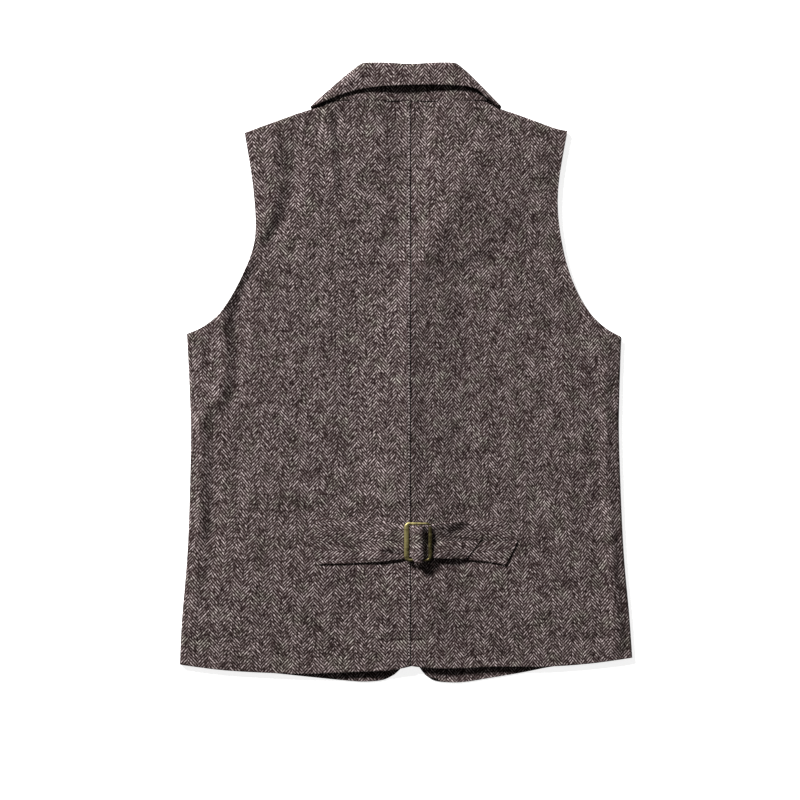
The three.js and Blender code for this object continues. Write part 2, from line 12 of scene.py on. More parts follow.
import bpy
import numpy as np
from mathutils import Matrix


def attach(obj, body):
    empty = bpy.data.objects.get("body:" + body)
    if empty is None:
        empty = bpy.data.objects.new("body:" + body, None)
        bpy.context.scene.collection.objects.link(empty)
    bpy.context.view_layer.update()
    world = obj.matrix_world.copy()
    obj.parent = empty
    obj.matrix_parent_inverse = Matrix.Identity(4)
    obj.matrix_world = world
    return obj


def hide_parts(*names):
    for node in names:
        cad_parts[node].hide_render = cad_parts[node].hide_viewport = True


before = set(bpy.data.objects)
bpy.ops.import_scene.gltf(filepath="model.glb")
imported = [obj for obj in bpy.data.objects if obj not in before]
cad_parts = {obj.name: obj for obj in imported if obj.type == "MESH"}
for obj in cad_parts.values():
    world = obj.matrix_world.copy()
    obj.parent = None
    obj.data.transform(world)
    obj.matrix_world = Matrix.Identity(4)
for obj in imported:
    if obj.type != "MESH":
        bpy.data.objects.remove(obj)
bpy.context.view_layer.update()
MM = 0.001

# %% [markdown]
# The cloth is the first thing to describe. The tweed with its interlining is 2 mm thick, and
# where a panel turns over at a side seam it makes a soft fold, not a sharp one. The two halves
# of a laid-out garment never lie quite alike, so each half has its own outline, given as
# points from the bottom up or from the middle out.

# %% Sizes of the garment, in millimetres

CLOTH = 2.0  # thickness of a wall of cloth
SEAM = 0.3  # space between pieces that touch
ROLL = 3.15  # radius of the fold at a side seam
LAYER = CLOTH + SEAM
SEAM_X = 6.0  # the centre back seam
FRONT_X = 5.5  # the centre front, where the buttons are
OVERLAP = 15.0  # from the centre front to a front's edge
NECK_Y = 299.7  # the neck seam at the centre back
BREAK_Y = 105.0  # where the lapels begin to fold back
PART_Y = -306.0  # below this the fronts part
BUTTON_THICKNESS = 3.0
BACK_OVER_PLACKET = 0.6  # how much of the ridge of buttons shows through the back

LEFT = {
    "side": [[-250.9, -324.1], [-248.6, -275.3], [-242, -192], [-238.7, -81],
             [-239.8, -25.5], [-243, 42.2]],
    "armhole": [[-243, 42.2], [-225, 50.2], [-205, 66.5], [-187.6, 93.2], [-172, 128.8],
                [-166.5, 160], [-169.8, 208.7], [-178.7, 265.3]],
    "shoulder": [[-178.7, 265.3], [-138.8, 279.7], [-114, 288.4], [-98, 290.6],
                 [-85, 296.5]],
    "back_hem": [[SEAM_X, -325.6], [-17.8, -330.2], [-54.4, -331.9], [-112, -334.1],
                 [-157.6, -333], [-205, -330], [-250.9, -324.1]],
    "front_hem": [[-12.6, -335.6], [-25.5, -341.6], [-45.5, -343.3], [-65.5, -342],
                  [-109.9, -337.4], [-157.6, -332.4], [-205, -329.2], [-250.9, -323.3]],
    "front_edge": [[-12.6, -335.6], [-5.6, -328.6], [0.5, -318], [9, -298], [16.5, -270],
                   [FRONT_X + OVERLAP, -235], [FRONT_X + OVERLAP, 40], [18, 75],
                   [5.2, BREAK_Y]],
    "roll_line": [[5.2, BREAK_Y], [-16, 180], [-34, 252]],
    "gorge": [[-34, 252], [-58, 274], [-85, 296.5]],
    "lapel_edge": [[1, BREAK_Y - 1], [-45, 138], [-86, 190], [-106, 229]],
    "lapel_top": [[-36, 250.5], [-70, 240], [-106, 229]],
}

RIGHT = {
    "side": [[250.9, -316.4], [247.6, -270], [240.9, -192], [236.4, -81], [236.6, -25.5],
             [238.7, 38.9]],
    "armhole": [[238.7, 38.9], [220.9, 49], [203, 66.5], [187.6, 93.2], [175.6, 128.8],
                [168.5, 173], [169.3, 212], [178.7, 267.5]],
    "shoulder": [[178.7, 267.5], [164.5, 270.6], [138.8, 279.7], [114, 288.4],
                 [99, 290.6], [89, 296.5]],
    "back_hem": [[SEAM_X, -325.6], [21, -327.2], [48.8, -328.2], [100, -326.2],
                 [156.5, -326.2], [205, -322.8], [250.9, -316.4]],
    "front_hem": [[22, -336.2], [31, -342.2], [46, -344.1], [64, -343.7], [88.8, -339.7],
                  [128, -332.9], [164.3, -325.8], [205, -322], [250.9, -315.6]],
    "front_edge": [[22, -336.2], [15.5, -328.6], [10.8, -318], [3, -296], [-5.5, -268],
                   [FRONT_X - OVERLAP, -235], [FRONT_X - OVERLAP, 40], [-7, 75],
                   [5.8, BREAK_Y]],
    "roll_line": [[5.8, BREAK_Y], [27, 180], [45, 252]],
    "gorge": [[45, 252], [66, 274], [89, 296.5]],
    "lapel_edge": [[10, BREAK_Y - 1], [56, 138], [97, 190], [117, 229]],
    "lapel_top": [[47, 250.5], [81, 240], [117, 229]],
}

print("hem is", RIGHT["side"][0][0] - LEFT["side"][0][0], "mm wide")

# %% [markdown]
# A tailor draws a pattern piece with a curved ruler through a few marks. The same is done
# here: a smooth curve runs through the points of each edge. Four such edges bound a patch, and
# any place in the patch is found from two shares, one across it and one up it.

# %% Curves and patches

def ease(t):
    """Runs softly from 0 to 1: three t squared less two t cubed, held level outside."""
    t = np.clip(t, 0, 1)
    return t * t * (3 - 2 * t)


def cubic(p1, p2, m1, m2, w):
    """The cubic from p1 to p2 with the slopes m1 and m2, at the share w of the way."""
    low = 2 * p1 - 2 * p2 + m1 + m2
    return low * w**3 + (3 * p2 - 3 * p1 - 2 * m1 - m2) * w**2 + m1 * w + p1


def plan_curve(*lists):
    """Smooth curves, one after another, through lists of points. In each span the slope at a
    point is half the step between its neighbours."""
    curves = []
    for points in lists:
        p = np.array([points[0], *points, points[-1]], float)
        spans = len(points) - 1
        t = np.linspace(0, spans, 24 * spans + 1)
        k = np.minimum(t.astype(int), spans - 1)
        p0, p1, p2, p3 = (p[k + step] for step in range(4))
        curves.append(cubic(p1, p2, (p2 - p0) / 2, (p3 - p1) / 2, (t - k)[:, None]))
    return np.vstack(curves)


def point_at(curve, axis, share):
    """The point of a curve that is this share of the way along x (axis 0) or y (axis 1)."""
    along = (curve[:, axis] - curve[0, axis]) / (curve[-1, axis] - curve[0, axis])
    along = np.maximum.accumulate(along)
    return np.stack([np.interp(share, along, curve[:, k]) for k in (0, 1)], -1)


def patch(inner, outer, bottom, top):
    """A flat patch between four curves, as a function of the shares u across and v up: the
    way between the sides plus the way between the ends, less the patch of the corners."""
    corners = [bottom[0], bottom[-1], top[0], top[-1]]

    def plan(u, v):
        u, v = np.broadcast_arrays(u, v)
        near, far = point_at(inner, 1, v), point_at(outer, 1, v)
        low, high = point_at(bottom, 0, u), point_at(top, 0, u)
        u, v = u[..., None], v[..., None]
        flat = (1 - v) * ((1 - u) * corners[0] + u * corners[1])
        flat = flat + v * ((1 - u) * corners[2] + u * corners[3])
        return near + (far - near) * u + low + (high - low) * v - flat

    return plan


def read_table(rows, value):
    """The value of a table of [place, value] rows, run softly from row to row."""
    places, values = np.array(rows, float).T
    k = np.clip(np.searchsorted(places, value) - 1, 0, len(places) - 2)
    share = ease((value - places[k]) / (places[k + 1] - places[k]))
    return values[k] + share * (values[k + 1] - values[k])


print("left side curve has", len(plan_curve(LEFT["side"])), "points")

# %% [markdown]
# Cloth that lies flat is never flat. It climbs over what is under it: first the lapels, then
# the buttons, then the front edge that laps over the other. Each climb is a height times soft
# ramps, and a ramp is written as ease((place - start) / length).

# %% Heights of the layers

LAPEL_REACH = [[60, -4], [BREAK_Y, 14], [140, 64], [190, 104], [229, 125], [260, 127],
               [305, 127]]
LEAF_ROOM = 0.2  # a little more height, because the collar's leaf isn't quite flat


def lapel_lift(x, y, side):
    """How far a front is lifted by the lapel and collar leaf under it: a layer, times a ramp
    just past the reach of the lapel, times a ramp up from below its start."""
    reach = read_table(LAPEL_REACH, y)
    out = side * (x - FRONT_X)
    return (LAYER + LEAF_ROOM) * ease((reach + 40 - out) / 34) * ease((y - 60) / 45)


def button_lift(x, y):
    """A low ridge down the centre front: a button's thickness times ramps at its ends and
    to its sides."""
    along = ease((y + 300) / 45) * ease((BREAK_Y + 8 - y) / 40)
    return (BUTTON_THICKNESS + SEAM) * along * ease((62 - abs(x - FRONT_X)) / 44)


def overlap_lift(x, y):
    """The right front's climb over the left one: a layer and its seams, times ramps at the
    ends of the overlap and to its sides."""
    along = ease((y + 345) / (PART_Y + 343)) * ease((BREAK_Y + 36 - y) / 34)
    return (LAYER + 2 * SEAM) * along * ease((66 - abs(x - FRONT_X)) / 38)


def front_height(x, y, side):
    """Height of a front's outer face, the one on the table: the higher of the lifts of lapel
    and buttons, and on the right front the climb of the overlap as well."""
    lift = np.maximum(lapel_lift(x, y, side), button_lift(x, y))
    return lift + overlap_lift(x, y) if side > 0 else lift


chest = float(front_height(np.array(60.0), np.array(200.0), 1))
print("right front lies", round(chest, 2), "mm up at the chest")

# %% [markdown]
# Folds are what the eye reads as cloth. They are placed one by one, each with its own line,
# width and depth: the largest ones are the solid's, and finer ones follow. A few long waves
# with seeded random directions add what no hand would place.

# %% Folds and waves

# Powers in the bell of a fold: the lower one gives a crease a sharper middle
SOFT_FOLD = 2
CREASE = 1.5


def line_distance(x, y, points):
    """Distance from the nearest part of a line of straight runs through some points."""
    nearest = np.inf
    for (x0, y0), (x1, y1) in zip(points, points[1:]):
        dx, dy = x1 - x0, y1 - y0
        t = np.clip(((x - x0) * dx + (y - y0) * dy) / (dx * dx + dy * dy), 0, 1)
        nearest = np.minimum(nearest, np.hypot(x - x0 - t * dx, y - y0 - t * dy))
    return nearest


# Largest folds: width, depth (a ridge is below zero), then the points of the line. The first
# nine are the solid's.
LARGE_FOLDS = [
    [15, 1.6, [-133, 232], [-140, 172]],
    [17, 1.7, [-172, 98], [-196, 10]],
    [13, 1.1, [-79, 268], [-80, 216]],
    [20, -1.2, [78, 215], [18, 112]],
    [16, 1.2, [150, 150], [182, 62]],
    [18, 1.3, [-216, -120], [-212, -215]],
    [14, 1.1, [222, -20], [218, -190]],
    [16, 1.0, [-30, -232], [-76, -300]],
    [18, 1.1, [118, -222], [136, -300]],
    [28, -2.4, [82, 224], [42, 152], [12, 90], [4, -40], [3, -130]],
    [18, 0.9, [-114, 264], [-118, 200], [-132, 150]],
]

# Finer creases of the back, in the same columns. A ridge beside a trough makes a steep wall,
# which is what shows as a dark line: by the left shoulder, round the armholes, at the sides.
FINE_FOLDS = [
    [12.5, -3.6, [-150, 262], [-147, 232], [-143, 206], [-149, 178], [-160, 154]],
    [10.5, 2.1, [-124, 250], [-121, 222], [-125, 196], [-137, 166], [-153, 144]],
    [6, -1.0, [-138, 204], [-147, 168], [-164, 142]],
    [9, -3.4, [-182, 114], [-190, 102], [-204, 66], [-199, 10], [-207, -34]],
    [8, 1.9, [-166, 116], [-177, 98], [-190, 58], [-185, 4], [-194, -32]],
    [12, -2.2, [-176, 126], [-190, 99], [-202, 74]],
    [5, -1.2, [-228, 36], [-228, 8]],
    [6, 1.0, [-217, 36], [-218, 8]],
    [8.5, -3.0, [-229, -50], [-228, -128], [-229, -180]],
    [8, 1.8, [-214, -52], [-213, -128], [-214, -182]],
    [7, -0.9, [-232, -192], [-240, -298]],
    [8, 0.8, [-216, -214], [-224, -262]],
    [9, -2.8, [220, -6], [225, -150], [233, -304]],
    [6.5, -3.0, [-87, 284], [-82, 236], [-80, 205]],
    [6.5, 1.6, [-76, 284], [-70, 236], [-69, 204]],
    [13, -1.8, [71, 238], [21, 126], [2, 84], [1, -130]],
    [12, 0.9, [88, 232], [38, 120], [20, 74], [18, -110]],
    [9, 1.3, [124, 252], [134, 196]],
    [8, 0.6, [92, 240], [88, 176]],
    [7, -0.8, [150, 262], [157, 226]],
    [9, 1.0, [188, 70], [208, 4], [212, -36]],
    [8, 0.5, [-84, 180], [-96, 140]],
    [9, -0.5, [-108, 140], [-124, 92]],
    [10, 0.5, [-100, 20], [-118, -46]],
    [10, 0.5, [62, -24], [84, -96]],
    [9, 0.5, [-60, -96], [-44, -150]],
    [9, 0.5, [154, -88], [140, -146]],
    [8, 0.6, [-140, -232], [-160, -286]],
    [8, 0.6, [40, -236], [52, -292]],
    [9, 0.6, [176, -236], [190, -296]],
    [7, 0.5, [-98, -262], [-110, -318]],
    [7, 0.5, [88, -262], [80, -312]],
    [8, 0.6, [210, -224], [222, -270]],
    [6, 1.2, [27, -184], [48, -182], [64, -170]],
    [4, 0.9, [-22, -200], [-6, -201.5]],
    [8, 1.6, [8, -214], [30, -223]],
    [30, -1.8, [-90, -337], [-24, -333]],
    [30, -1.8, [34, -334], [110, -334]],
    [3, 0.5, [-236, -297], [-60, -298], [120, -297], [238, -296]],
]


def folds(x, y, table, sharpness):
    """Sum of soft troughs: each is its depth times a bell of the distance from its line. A
    sharper bell makes a crease, and its ends die away as the line runs out."""
    total = 0
    for width, depth, *points in table:
        distance = line_distance(x, y, points)
        total = total + depth * np.exp(-((distance / width) ** sharpness))
    return total


def waves(x, y, length, height, seed):
    """Low random waves: the sum of sine waves of about this length in random directions."""
    rng = np.random.default_rng(seed)
    count = 14
    total = 0
    for _ in range(count):
        heading, phase = rng.uniform(0, 2 * math.pi, 2)
        step = length * rng.uniform(0.7, 1.7)
        along = x * math.cos(heading) + y * math.sin(heading)
        total = total + np.sin(2 * math.pi * along / step + phase)
    return total * height / math.sqrt(count)


print(len(LARGE_FOLDS), "large folds and", len(FINE_FOLDS), "finer ones")

# %% [markdown]
# The back lies on top of everything, so its height is a sum: a double roll of cloth at the
# side seams, what lifts it from below, a dip under the neck, a little fullness, and the
# pressed allowance beside the centre seam. Its folds are taken off and fade at its edges.

# %% Height of the back

NECK_SAG = 4.3  # depth of the dip under the neck
NECK_HALF = [[150, 8], [300, 46]]  # rows: y, half the width of the dip
FULLNESS = 1.2  # how far the back stands up inside its edges
ALLOWANCE = 0.9  # what the pressed seam allowance adds
EDGE_CALM = [[30, 3.2], [70, -9]]  # rows: y, distance from the edge where folds begin
WAVES = [(70, 0.35, 3), (26, 0.16, 8)]  # rows: length, height, seed


def edge_distance(x, y):
    """How far a place is from the side seam or armhole, straight across."""
    (left_x, left_y), (right_x, right_y) = (
        np.array(half["side"] + half["armhole"]).T for half in (LEFT, RIGHT))
    reach = np.where(x < 0, -np.interp(y, left_y, left_x), np.interp(y, right_y, right_x))
    return reach - abs(x)


def back_height(x, y):
    """Height of the back's outer face, which looks up: two rolls and a seam, plus the lifts,
    less the sag, plus fullness and allowance, less the folds, plus the waves."""
    side = np.where(x < FRONT_X, -1, 1)
    placket = BACK_OVER_PLACKET * (button_lift(x, y) + overlap_lift(x, y))
    under = np.maximum(lapel_lift(x, y, side), placket)
    neck_half = read_table(NECK_HALF, y)
    sag = NECK_SAG * ease((y - 160) / 70) * ease((neck_half - abs(x - FRONT_X)) / 30)
    edge = edge_distance(x, y)
    fullness = FULLNESS * ease(edge / 18) * ease((y + 325) / 60) * ease((290 - y) / 50)
    inside = ease((edge - read_table(EDGE_CALM, y)) / 9)
    allowance = ALLOWANCE * ease((x + 8) / 8) * ease((SEAM_X + 0.2 - x) / 0.4)
    height = 2 * ROLL + SEAM + under - sag + fullness + allowance
    height = height - inside * folds(x, y, LARGE_FOLDS, SOFT_FOLD)
    height = height - inside * folds(x, y, FINE_FOLDS, CREASE)
    calm = inside * ease((y + 330) / 40) * ease((300 - y) / 30)
    return height + calm * sum(waves(x, y, *row) for row in WAVES)


print("back is", round(float(back_height(np.array(60.0), np.array(0.0))), 2), "mm up")

# %% [markdown]
# Every cloth piece is a closed wall: an outer face, an inner face 2 mm behind it, and a
# rounded rim that joins them, as a turned-in edge is round. The faces are two equal grids, so
# the mesh is a matter of numbering. The weave has to follow the cloth, so each point also
# carries its place on the flat cloth, in metres, as its UV.

# %% Closed walls of cloth

RIM_STEPS = 4
RIM_BULGE = 0.5


def quads(grid):
    """The four-sided faces between the points of a numbered grid, or of a stack of grids."""
    square = [grid[..., :-1, :-1], grid[..., :-1, 1:], grid[..., 1:, 1:], grid[..., 1:, :-1]]
    return np.stack(square, -1).reshape(-1, 4)


def round_faces(grid):
    """The faces of a tube: those of its numbered grid, with each row closed on itself."""
    return quads(np.concatenate([grid, grid[..., :1]], axis=-1))


def unit(vectors):
    """Vectors of length one in the same directions: each is divided by its length."""
    return vectors / np.linalg.norm(vectors, axis=-1, keepdims=True)


def surface_normals(grid):
    """Unit normals of a grid of points: across its rows times up its columns."""
    return unit(np.cross(np.gradient(grid, axis=1), np.gradient(grid, axis=0)))


def border(grid):
    """The outside of a grid, once round it."""
    return np.concatenate([grid[0, :-1], grid[:-1, -1], grid[-1, :0:-1], grid[:0:-1, 0]])


def make_mesh(name, points, faces, flat_cloth=None):
    """A mesh object from points in millimetres and faces as lists of point numbers. With the
    flat cloth given, each corner takes its point's place there, in metres, as its UV."""
    mesh = bpy.data.meshes.new(name)
    mesh.from_pydata((points * MM).tolist(), [], faces)
    if flat_cloth is not None:
        loops = np.zeros(len(mesh.loops), np.int32)
        mesh.loops.foreach_get("vertex_index", loops)
        layer = mesh.uv_layers.new(name="cloth")
        layer.data.foreach_set("uv", (flat_cloth[loops] * MM).astype(np.float32).ravel())
    mesh.shade_smooth()
    mesh.update()
    piece = bpy.data.objects.new(name, mesh)
    bpy.context.scene.collection.objects.link(piece)
    return piece


def facing_out(name, points, faces, uv):
    """Turns the faces round where they enclose a negative volume, then makes the mesh. The
    volume is a sixth of the sum of the triangles' triple products."""
    p0, p1, p2, p3 = (points[faces[:, k]] for k in range(4))
    volume = (np.cross(p1 - p0, p2 - p0) * p0).sum() + (np.cross(p2 - p0, p3 - p0) * p0).sum()
    faces = faces if volume > 0 else faces[:, ::-1]
    piece = make_mesh(name, points, faces.tolist(), uv)
    print(name, len(faces), "faces,", round(abs(volume) / 6000, 1), "cubic cm")
    return piece


def wall(name, outer, inner, flat_cloth):
    """A closed wall between two grids of points. The rim is half an ellipse from the outer
    edge to the inner one, which bulges away from the cloth."""
    rows, columns = outer.shape[:2]
    count = rows * columns
    a = np.arange(count).reshape(rows, columns)
    b = a + count
    edge_out, edge_in = border(outer), border(inner)
    inward = np.concatenate([
        outer[1, :-1] - outer[0, :-1], outer[:-1, -2] - outer[:-1, -1],
        outer[-2, :0:-1] - outer[-1, :0:-1], outer[:0:-1, 1] - outer[:0:-1, 0]])
    away = unit(-inward)
    angles = math.pi * np.arange(1, RIM_STEPS) / RIM_STEPS
    middle, reach = (edge_out + edge_in) / 2, (edge_out - edge_in) / 2
    rim = [middle + math.cos(t) * reach + RIM_BULGE * math.sin(t) * away for t in angles]
    ring = len(edge_out)
    rings = [border(a), *(2 * count + k * ring + np.arange(ring) for k in range(len(rim)))]
    rings.append(border(b))
    faces = np.concatenate([quads(a), quads(b)[:, ::-1], round_faces(np.array(rings))[:, ::-1]])
    points = np.concatenate([outer.reshape(-1, 3), inner.reshape(-1, 3), *rim])
    uv = np.concatenate([flat_cloth.reshape(-1, 2)] * 2 + [border(flat_cloth)] * len(rim))
    return facing_out(name, points, faces, uv)


print("a rim bulges", RIM_BULGE, "mm in", RIM_STEPS, "steps")

# %% [markdown]
# A panel is a patch of cloth lifted to a height and turned over at its edges. At a side seam
# it turns a full quarter round, at the centre seam a little, which leaves the fine groove that
# a pressed seam has. The turn is a true arc, worked out from the angle, so that the front and
# the back meet face to face. The weave runs straight through the panel and over the fold.

# %% Panels

def stations(shares, steps=6):
    """Places across a panel: a rolled edge at each end, in equal steps of its turn, and the
    shares between. The first row says which edge (-1, 0 or 1), the second how far."""
    turn = np.arange(steps, 0, -1) / steps
    edge = np.concatenate([-np.ones(steps), np.zeros(len(shares)), np.ones(steps)])
    return edge, np.concatenate([turn, shares, turn[::-1]])


def place_at(edge, share, length, start, end):
    """Where a station lies on a line of this length, as a share, and how far it is turned."""
    limit = np.where(edge < 0, start, end)
    angle = np.where(edge == 0, 0, limit * share)
    width = ROLL * (np.sin(limit) - np.sin(angle)) / length
    clear = ROLL * np.sin(start) / length
    flat = clear + (1 - clear - ROLL * np.sin(end) / length) * share
    return np.where(edge == 0, flat, np.where(edge < 0, width, 1 - width)), angle


def panel(name, edges, shares, face, height, turn, lie=None):
    """A wall over a flat patch. Its outer face is at the height, less the roll's radius times
    one minus the cosine of the turn, and its inner face lies one cloth behind. On the flat
    cloth an edge reaches further out, by the arc of its turn less what shows of it."""
    plan = patch(*edges)
    edge_u, share_u = (row[None, :] for row in stations(shares[0]))
    edge_v, share_v = (column[:, None] for column in stations(shares[1]))
    rough_u = np.where(edge_u == 0, share_u, (edge_u + 1) / 2)
    rough_v = np.where(edge_v == 0, share_v, (edge_v + 1) / 2)
    width = np.linalg.norm(plan(0.0, rough_v) - plan(1.0, rough_v), axis=-1)
    length = np.linalg.norm(plan(rough_u, 0.0) - plan(rough_u, 1.0), axis=-1)
    u, angle_u = place_at(edge_u, share_u, width, turn["inner"](rough_v), turn["outer"](rough_v))
    v, angle_v = place_at(edge_v, share_v, length, turn["bottom"](rough_u), turn["top"](rough_u))
    at = plan(u, v)
    x, y = at[..., 0], at[..., 1]
    drop = ROLL * (1 - np.cos(angle_u) * np.cos(angle_v))
    z = height(x, y) - face * drop
    outer = np.stack([x, y, z], -1)
    normal = surface_normals(outer)
    normal = normal * np.sign(normal[len(at) // 2, at.shape[1] // 2, 2]) * face
    tiny = 1e-3
    across = unit(plan(u + tiny, v) - plan(u - tiny, v)) * edge_u[..., None]
    up = unit(plan(u, v + tiny) - plan(u, v - tiny)) * edge_v[..., None]
    over = ROLL * (angle_u - np.sin(angle_u))[..., None] * across
    over = over + ROLL * (angle_v - np.sin(angle_v))[..., None] * up
    flat_cloth = lie(at + over) if lie else at + over
    return wall(name, outer, outer - CLOTH * normal, flat_cloth)


def row_shares(side, armhole, side_rows, armhole_rows):
    """Rows of a panel: even steps up the side seam, then even steps round the armhole."""
    curve = plan_curve(side, armhole)
    low, rise = curve[0, 1], curve[-1, 1] - curve[0, 1]
    underarm = (side[-1][1] - low) / rise
    hole = plan_curve(armhole)
    run = np.concatenate([[0], np.cumsum(np.linalg.norm(np.diff(hole, axis=0), axis=1))])
    heights = np.interp(np.linspace(0, run[-1], armhole_rows + 1), run, hole[:, 1])
    up_side = underarm * np.arange(side_rows) / side_rows
    return np.concatenate([up_side, (heights - low) / rise]), underarm


def side_turn(underarm):
    """Turn down an outer edge: 90 degrees at the side seam, 72 less at the armhole."""
    def turn(v):
        return np.radians(90 - 72 * ease((v - underarm + 0.01) / 0.02))

    return turn


def steady(degrees):
    """The same turn all along an edge."""
    def turn(share):
        return np.radians(degrees) + 0 * share

    return turn


print("a rolled edge has", int((stations(np.zeros(1))[0] < 0).sum()), "steps")

# %% [markdown]
# The two backs meet at the centre back seam. Their tops turn fully over at the shoulders,
# where the fronts come round, and hardly at the neck, where the collar is sewn on. The seam's
# allowances are pressed to the left, so the left edge stands up and rolls under, and the right
# one lies lower and flatter.

# %% Backs

# The tweed isn't drawn evenly: its columns show narrower at the waist than at the hem, and
# narrower on the right half. Rows are the height and how wide a column shows there.
DRAWN = [[-280, 1.05], [-100, 0.98], [60, 0.98], [250, 1.03]]
WEAVE = {-1: {"turn_x": -10.5, "draw": 1.0}, 1: {"turn_x": 11.1, "draw": 0.936}}

# Turns are in degrees: at the centre seam by side, at the other edges by piece
SEAM_TURN = {-1: 64, 1: 18}
EDGE_TURN = {"back": 22, "front": 12, "lapel": 10}
NECK_RISE = [2.4, 1.8]  # how much further up the back reaches, beside the neck
NECK_STRAIGHT = 0.8  # share of the neck that runs straight
BACK_GRID = {"across": 96, "side": 160, "armhole": 110}


def shoulder_turn(u):
    """Turn along the back's top: 8 degrees at the neck, then 90 from the shoulder out."""
    return np.radians(8 + 82 * ease((u - 0.49) / 0.05))


def back_panel(name, half, side):
    """One half of the back: the patch between the centre seam, the side with the armhole, the
    hem, and the neck with the shoulder, on a grid of about two and a half millimetres."""
    seam_x = SEAM_X + side * SEAM / 2
    hem = [[seam_x, half["back_hem"][0][1]], *half["back_hem"][1:]]
    high = [[x, y + rise] for (x, y), rise in zip(half["shoulder"][-2:], NECK_RISE)]
    shoulder, neck_end = [*half["shoulder"][:-2], *high], high[-1]
    neck = [[seam_x, NECK_Y], [seam_x + NECK_STRAIGHT * (neck_end[0] - seam_x), NECK_Y],
            neck_end]
    edges = (plan_curve([hem[0], neck[0]]), plan_curve(half["side"], half["armhole"]),
             plan_curve(hem), plan_curve(neck, shoulder[::-1]))
    rows, underarm = row_shares(half["side"], half["armhole"], BACK_GRID["side"],
                                BACK_GRID["armhole"])
    turn = {"inner": steady(SEAM_TURN[side]), "outer": side_turn(underarm),
            "bottom": steady(EDGE_TURN["back"]), "top": shoulder_turn}
    weave = WEAVE[side]

    def lie(flat):
        """Counts the columns from one that turns beside the seam, and draws them in."""
        x, y = flat[..., 0] - weave["turn_x"], flat[..., 1]
        return np.stack([x / (weave["draw"] * read_table(DRAWN, y)), y], -1)

    shares = (np.linspace(0, 1, BACK_GRID["across"]), rows)
    return panel(name, edges, shares, 1, back_height, turn, lie)


back_left = back_panel("tweed_back_left", LEFT, -1)
back_right = back_panel("tweed_back_right", RIGHT, 1)

# %% [markdown]
# The fronts lie face down. Only their hems show, so they have a coarser grid. An armhole is
# cut further in than the back's, as it is on a real waistcoat, so it stays hidden.

# %% Fronts

ARMHOLE_INSET = 7  # how much further in a front's armhole is cut
FRONT_GRID = {"across": 70, "side": 90, "armhole": 60}


def front_panel(name, half, side):
    """One front: the patch between its front edge, the side with the armhole, the hem and the
    shoulder. The inset of the armhole follows half a sine wave."""
    count = len(half["armhole"]) - 1
    hole = [[x - side * ARMHOLE_INSET * math.sin(math.pi * k / count), y]
            for k, (x, y) in enumerate(half["armhole"])]
    edges = (plan_curve(half["front_edge"], half["roll_line"], half["gorge"]),
             plan_curve(half["side"], hole), plan_curve(half["front_hem"]),
             plan_curve(half["shoulder"][::-1]))
    rows, underarm = row_shares(half["side"], hole, FRONT_GRID["side"], FRONT_GRID["armhole"])
    soft = steady(EDGE_TURN["front"])
    turn = {"inner": soft, "outer": side_turn(underarm), "bottom": soft, "top": steady(90)}

    def height(x, y):
        return front_height(x, y, side)

    shares = (np.linspace(0, 1, FRONT_GRID["across"]), rows)
    return panel(name, edges, shares, -1, height, turn)


front_left = front_panel("tweed_front_left", LEFT, -1)
front_right = front_panel("tweed_front_right", RIGHT, 1)

# %% [markdown]
# The lapels are folded back on the fronts and lie flat on the table. Nothing of them shows
# from above, so they are plain: a patch with a slight turn at its edges.

# %% Lapels

def on_table(x, y):
    """The height of cloth that lies face down on the table: none."""
    return 0 * x


def lapel(name, half):
    """A lapel: a flat patch from the roll line to its edge."""
    start = half["roll_line"][0]
    inset = math.copysign(1, half["lapel_edge"][0][0] - start[0])
    fold = [[x + inset, y] for x, y in half["roll_line"][:2]]
    fold.append([half["roll_line"][2][0] + inset, half["lapel_top"][0][1]])
    edges = (plan_curve(fold), plan_curve(half["lapel_edge"]),
             plan_curve([fold[0], half["lapel_edge"][0]]),
             plan_curve([fold[2], *half["lapel_top"][1:]]))
    soft = steady(EDGE_TURN["lapel"])
    turn = {"inner": soft, "outer": soft, "bottom": steady(1), "top": soft}
    shares = (np.linspace(0, 1, 24), np.linspace(0, 1, 48))
    return panel(name, edges, shares, -1, on_table, turn)


lapel_left = lapel("tweed_lapel_left", LEFT)
lapel_right = lapel("tweed_lapel_right", RIGHT)

# %% [markdown]
# The collar is one strip folded along its roll line: the stand rises from the neck seam, the
# leaf falls outside it and stands a little clear of the back, which makes the dark shadow
# under its edge. It is described by five lines that run along it, from the front end of the
# leaf over the shoulder to the centre back. Smooth curves run along the lines first and then
# across them.

# %% Collar

